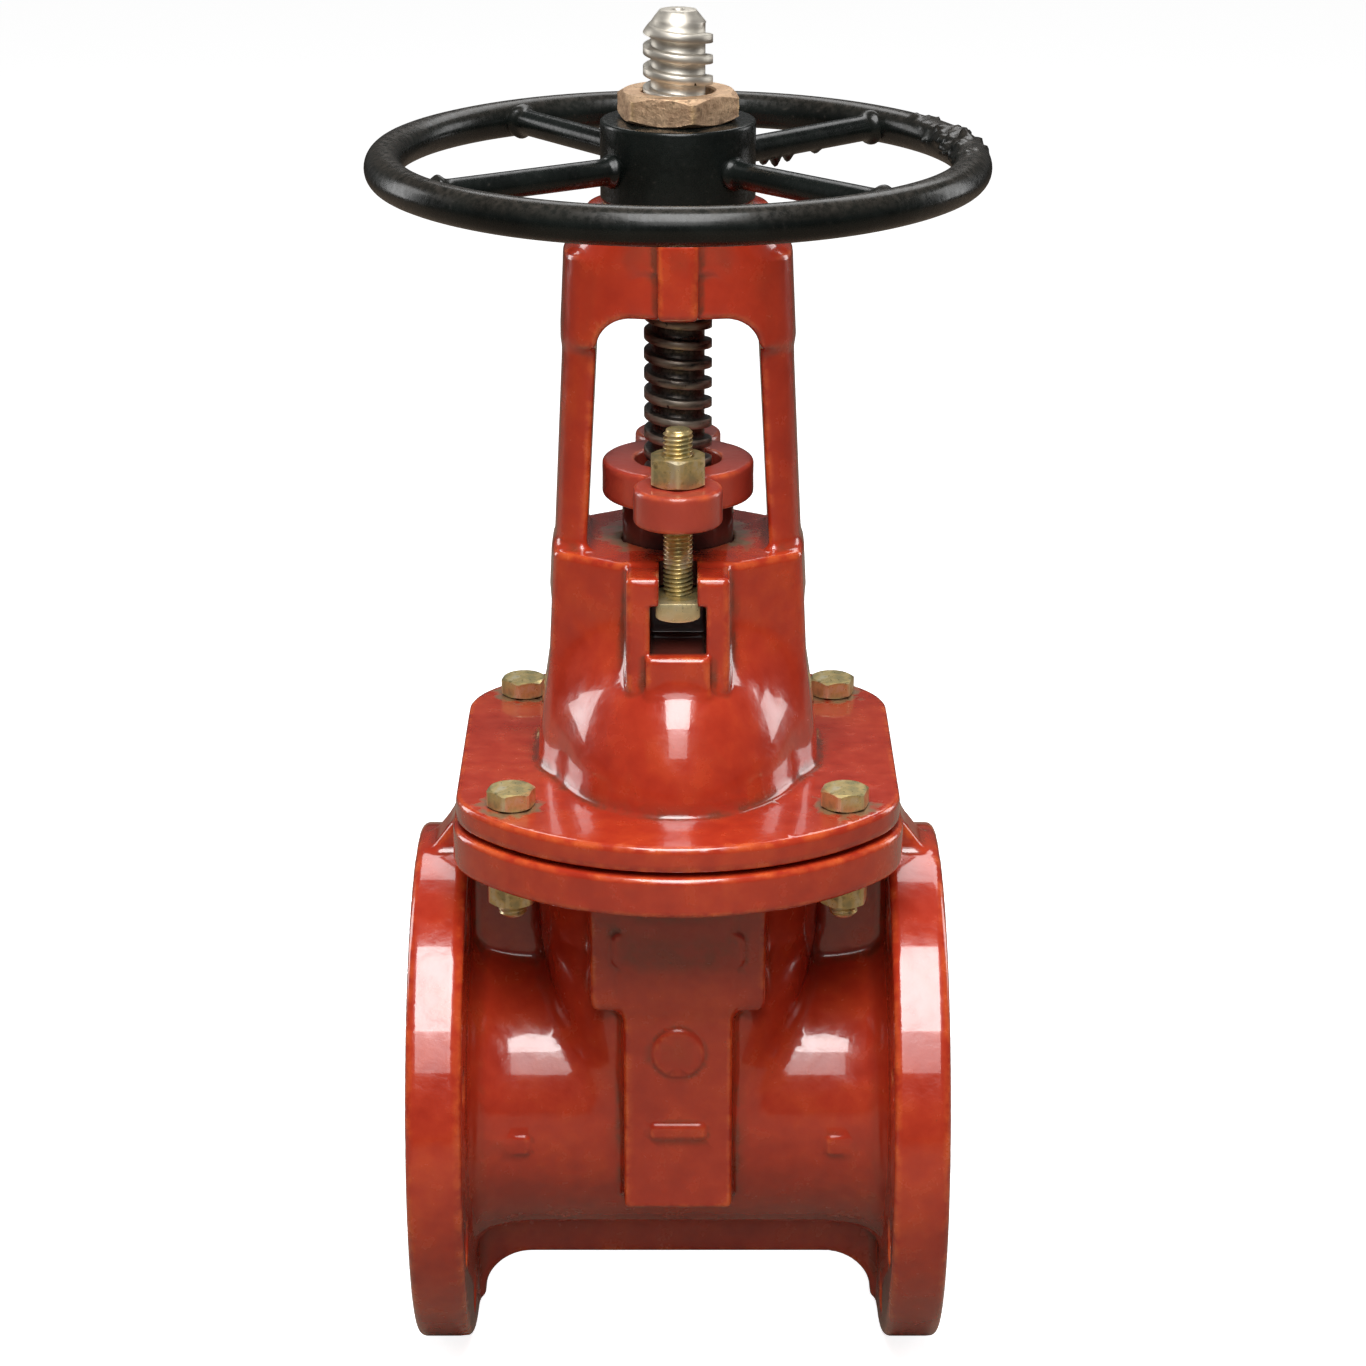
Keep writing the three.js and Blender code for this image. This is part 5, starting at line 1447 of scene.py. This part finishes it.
def castings():
    body_red = red_enamel("red_enamel_body", grooved=True)
    # The pocket's mark is painted shade; the gland's nose gets painted shade and grease.
    on_bonnet = ((bolt_residue, RESIDUE), (deck_residue, RESIDUE), (pocket_shade, GREASE_AND_SHADE))
    bonnet_red = red_enamel("red_enamel_bonnet", stains_and_shade=on_bonnet)
    gland_red = red_enamel("red_enamel_gland", dull=0.45, stains_and_shade=((nose_shade_and_grease, GREASE_AND_SHADE),))
    show(valve_body(), "valve", "valve_body", body_red)
    show(bonnet(), "valve", "bonnet_yoke", bonnet_red)
    show(gland(), "valve", "gland", gland_red)
    dress("bonnet_gasket", gasket_fibre(), 0.2)


def fasteners():
    small_zinc = yellow_zinc("yellow_zinc_bonnet", BONNET_BOLT_FLATS)
    large_zinc = yellow_zinc("yellow_zinc_gland", GLAND_NUT_FLATS)
    corners = ((-1, -1), (1, -1), (1, 1), (-1, 1))
    for i, (side_x, side_y) in enumerate(corners, 1):
        bolt, nut = f"bonnet_bolt_{i}", f"bonnet_nut_{i}"
        x, y = side_x * BONNET_BOLT_XY, side_y * BONNET_BOLT_XY
        show(bonnet_bolt(f"{bolt}_threaded", x, y), "valve", bolt, small_zinc)
        show(bonnet_nut(f"{nut}_hex", x, y), "valve", nut, small_zinc)
    for place, side in (("front", -1), ("back", 1)):
        bolt, nut = f"gland_bolt_{place}", f"gland_nut_{place}"
        show(gland_bolt(f"{bolt}_threaded", side), "valve", bolt, large_zinc)
        show(gland_nut(f"{nut}_hex", side), "valve", nut, large_zinc)


def packing():
    braid = packing_braid()
    for i in range(PACKING_RINGS):
        low = BOX_FLOOR_Z + 0.2 + PACKING_RING_STEP * i
        high = low + PACKING_RING_HEIGHT
        node = f"packing_ring_{i + 1}"
        ring = turned_ring(f"{node}_braid", STEM_R + GAP, PACKING_R, low, high, 1.2)
        show(ring, "valve", node, braid)
    bushing_z = (BUSHING_LOW_Z, BOX_FLOOR_Z - GAP)
    bushing = turned_ring("backseat_bushing_turned", STEM_R + 0.6, BUSHING_R, *bushing_z)
    show(bushing, "valve", "backseat_bushing", bronze("bronze_bushing", NO_FLATS, 0))


def moving_stem():
    steel = stem_steel()
    show(stem(), "stem_and_wedge", "stem", steel)
    show(wedge_core(), "stem_and_wedge", "wedge_core", cast_iron())
    show(wedge_rubber(), "stem_and_wedge", "wedge_rubber", moulded_rubber())
    dress("wedge_pin", steel, 0.5)


def wheel():
    black = black_enamel()
    turned_bronze = bronze("bronze_turned", NO_FLATS, 0)
    show(yoke_nut(), "handwheel", "yoke_nut", turned_bronze)
    washer_z = (YOKE_TOP_Z + GAP, HUB_LOW_Z - GAP)
    washer = turned_ring("thrust_washer_turned", YOKE_NUT_R + GAP, HUB_R - 1, *washer_z)
    show(washer, "handwheel", "thrust_washer", turned_bronze)
    show(wheel_hub(), "handwheel", "wheel_hub", black)
    show(wheel_rim(), "handwheel", "wheel_rim", black)
    for i, degrees in enumerate(SPOKE_DIRECTIONS, 1):
        show(wheel_spoke(i, degrees), "handwheel", f"wheel_spoke_{i}", black)
    show(wheel_nut(), "handwheel", "wheel_nut", bronze("bronze_cast", WHEEL_NUT_FLATS, 1))
    dress("wheel_key", stem_steel(), 0.3)


castings()
fasteners()
packing()
moving_stem()
wheel()
studio()
camera()
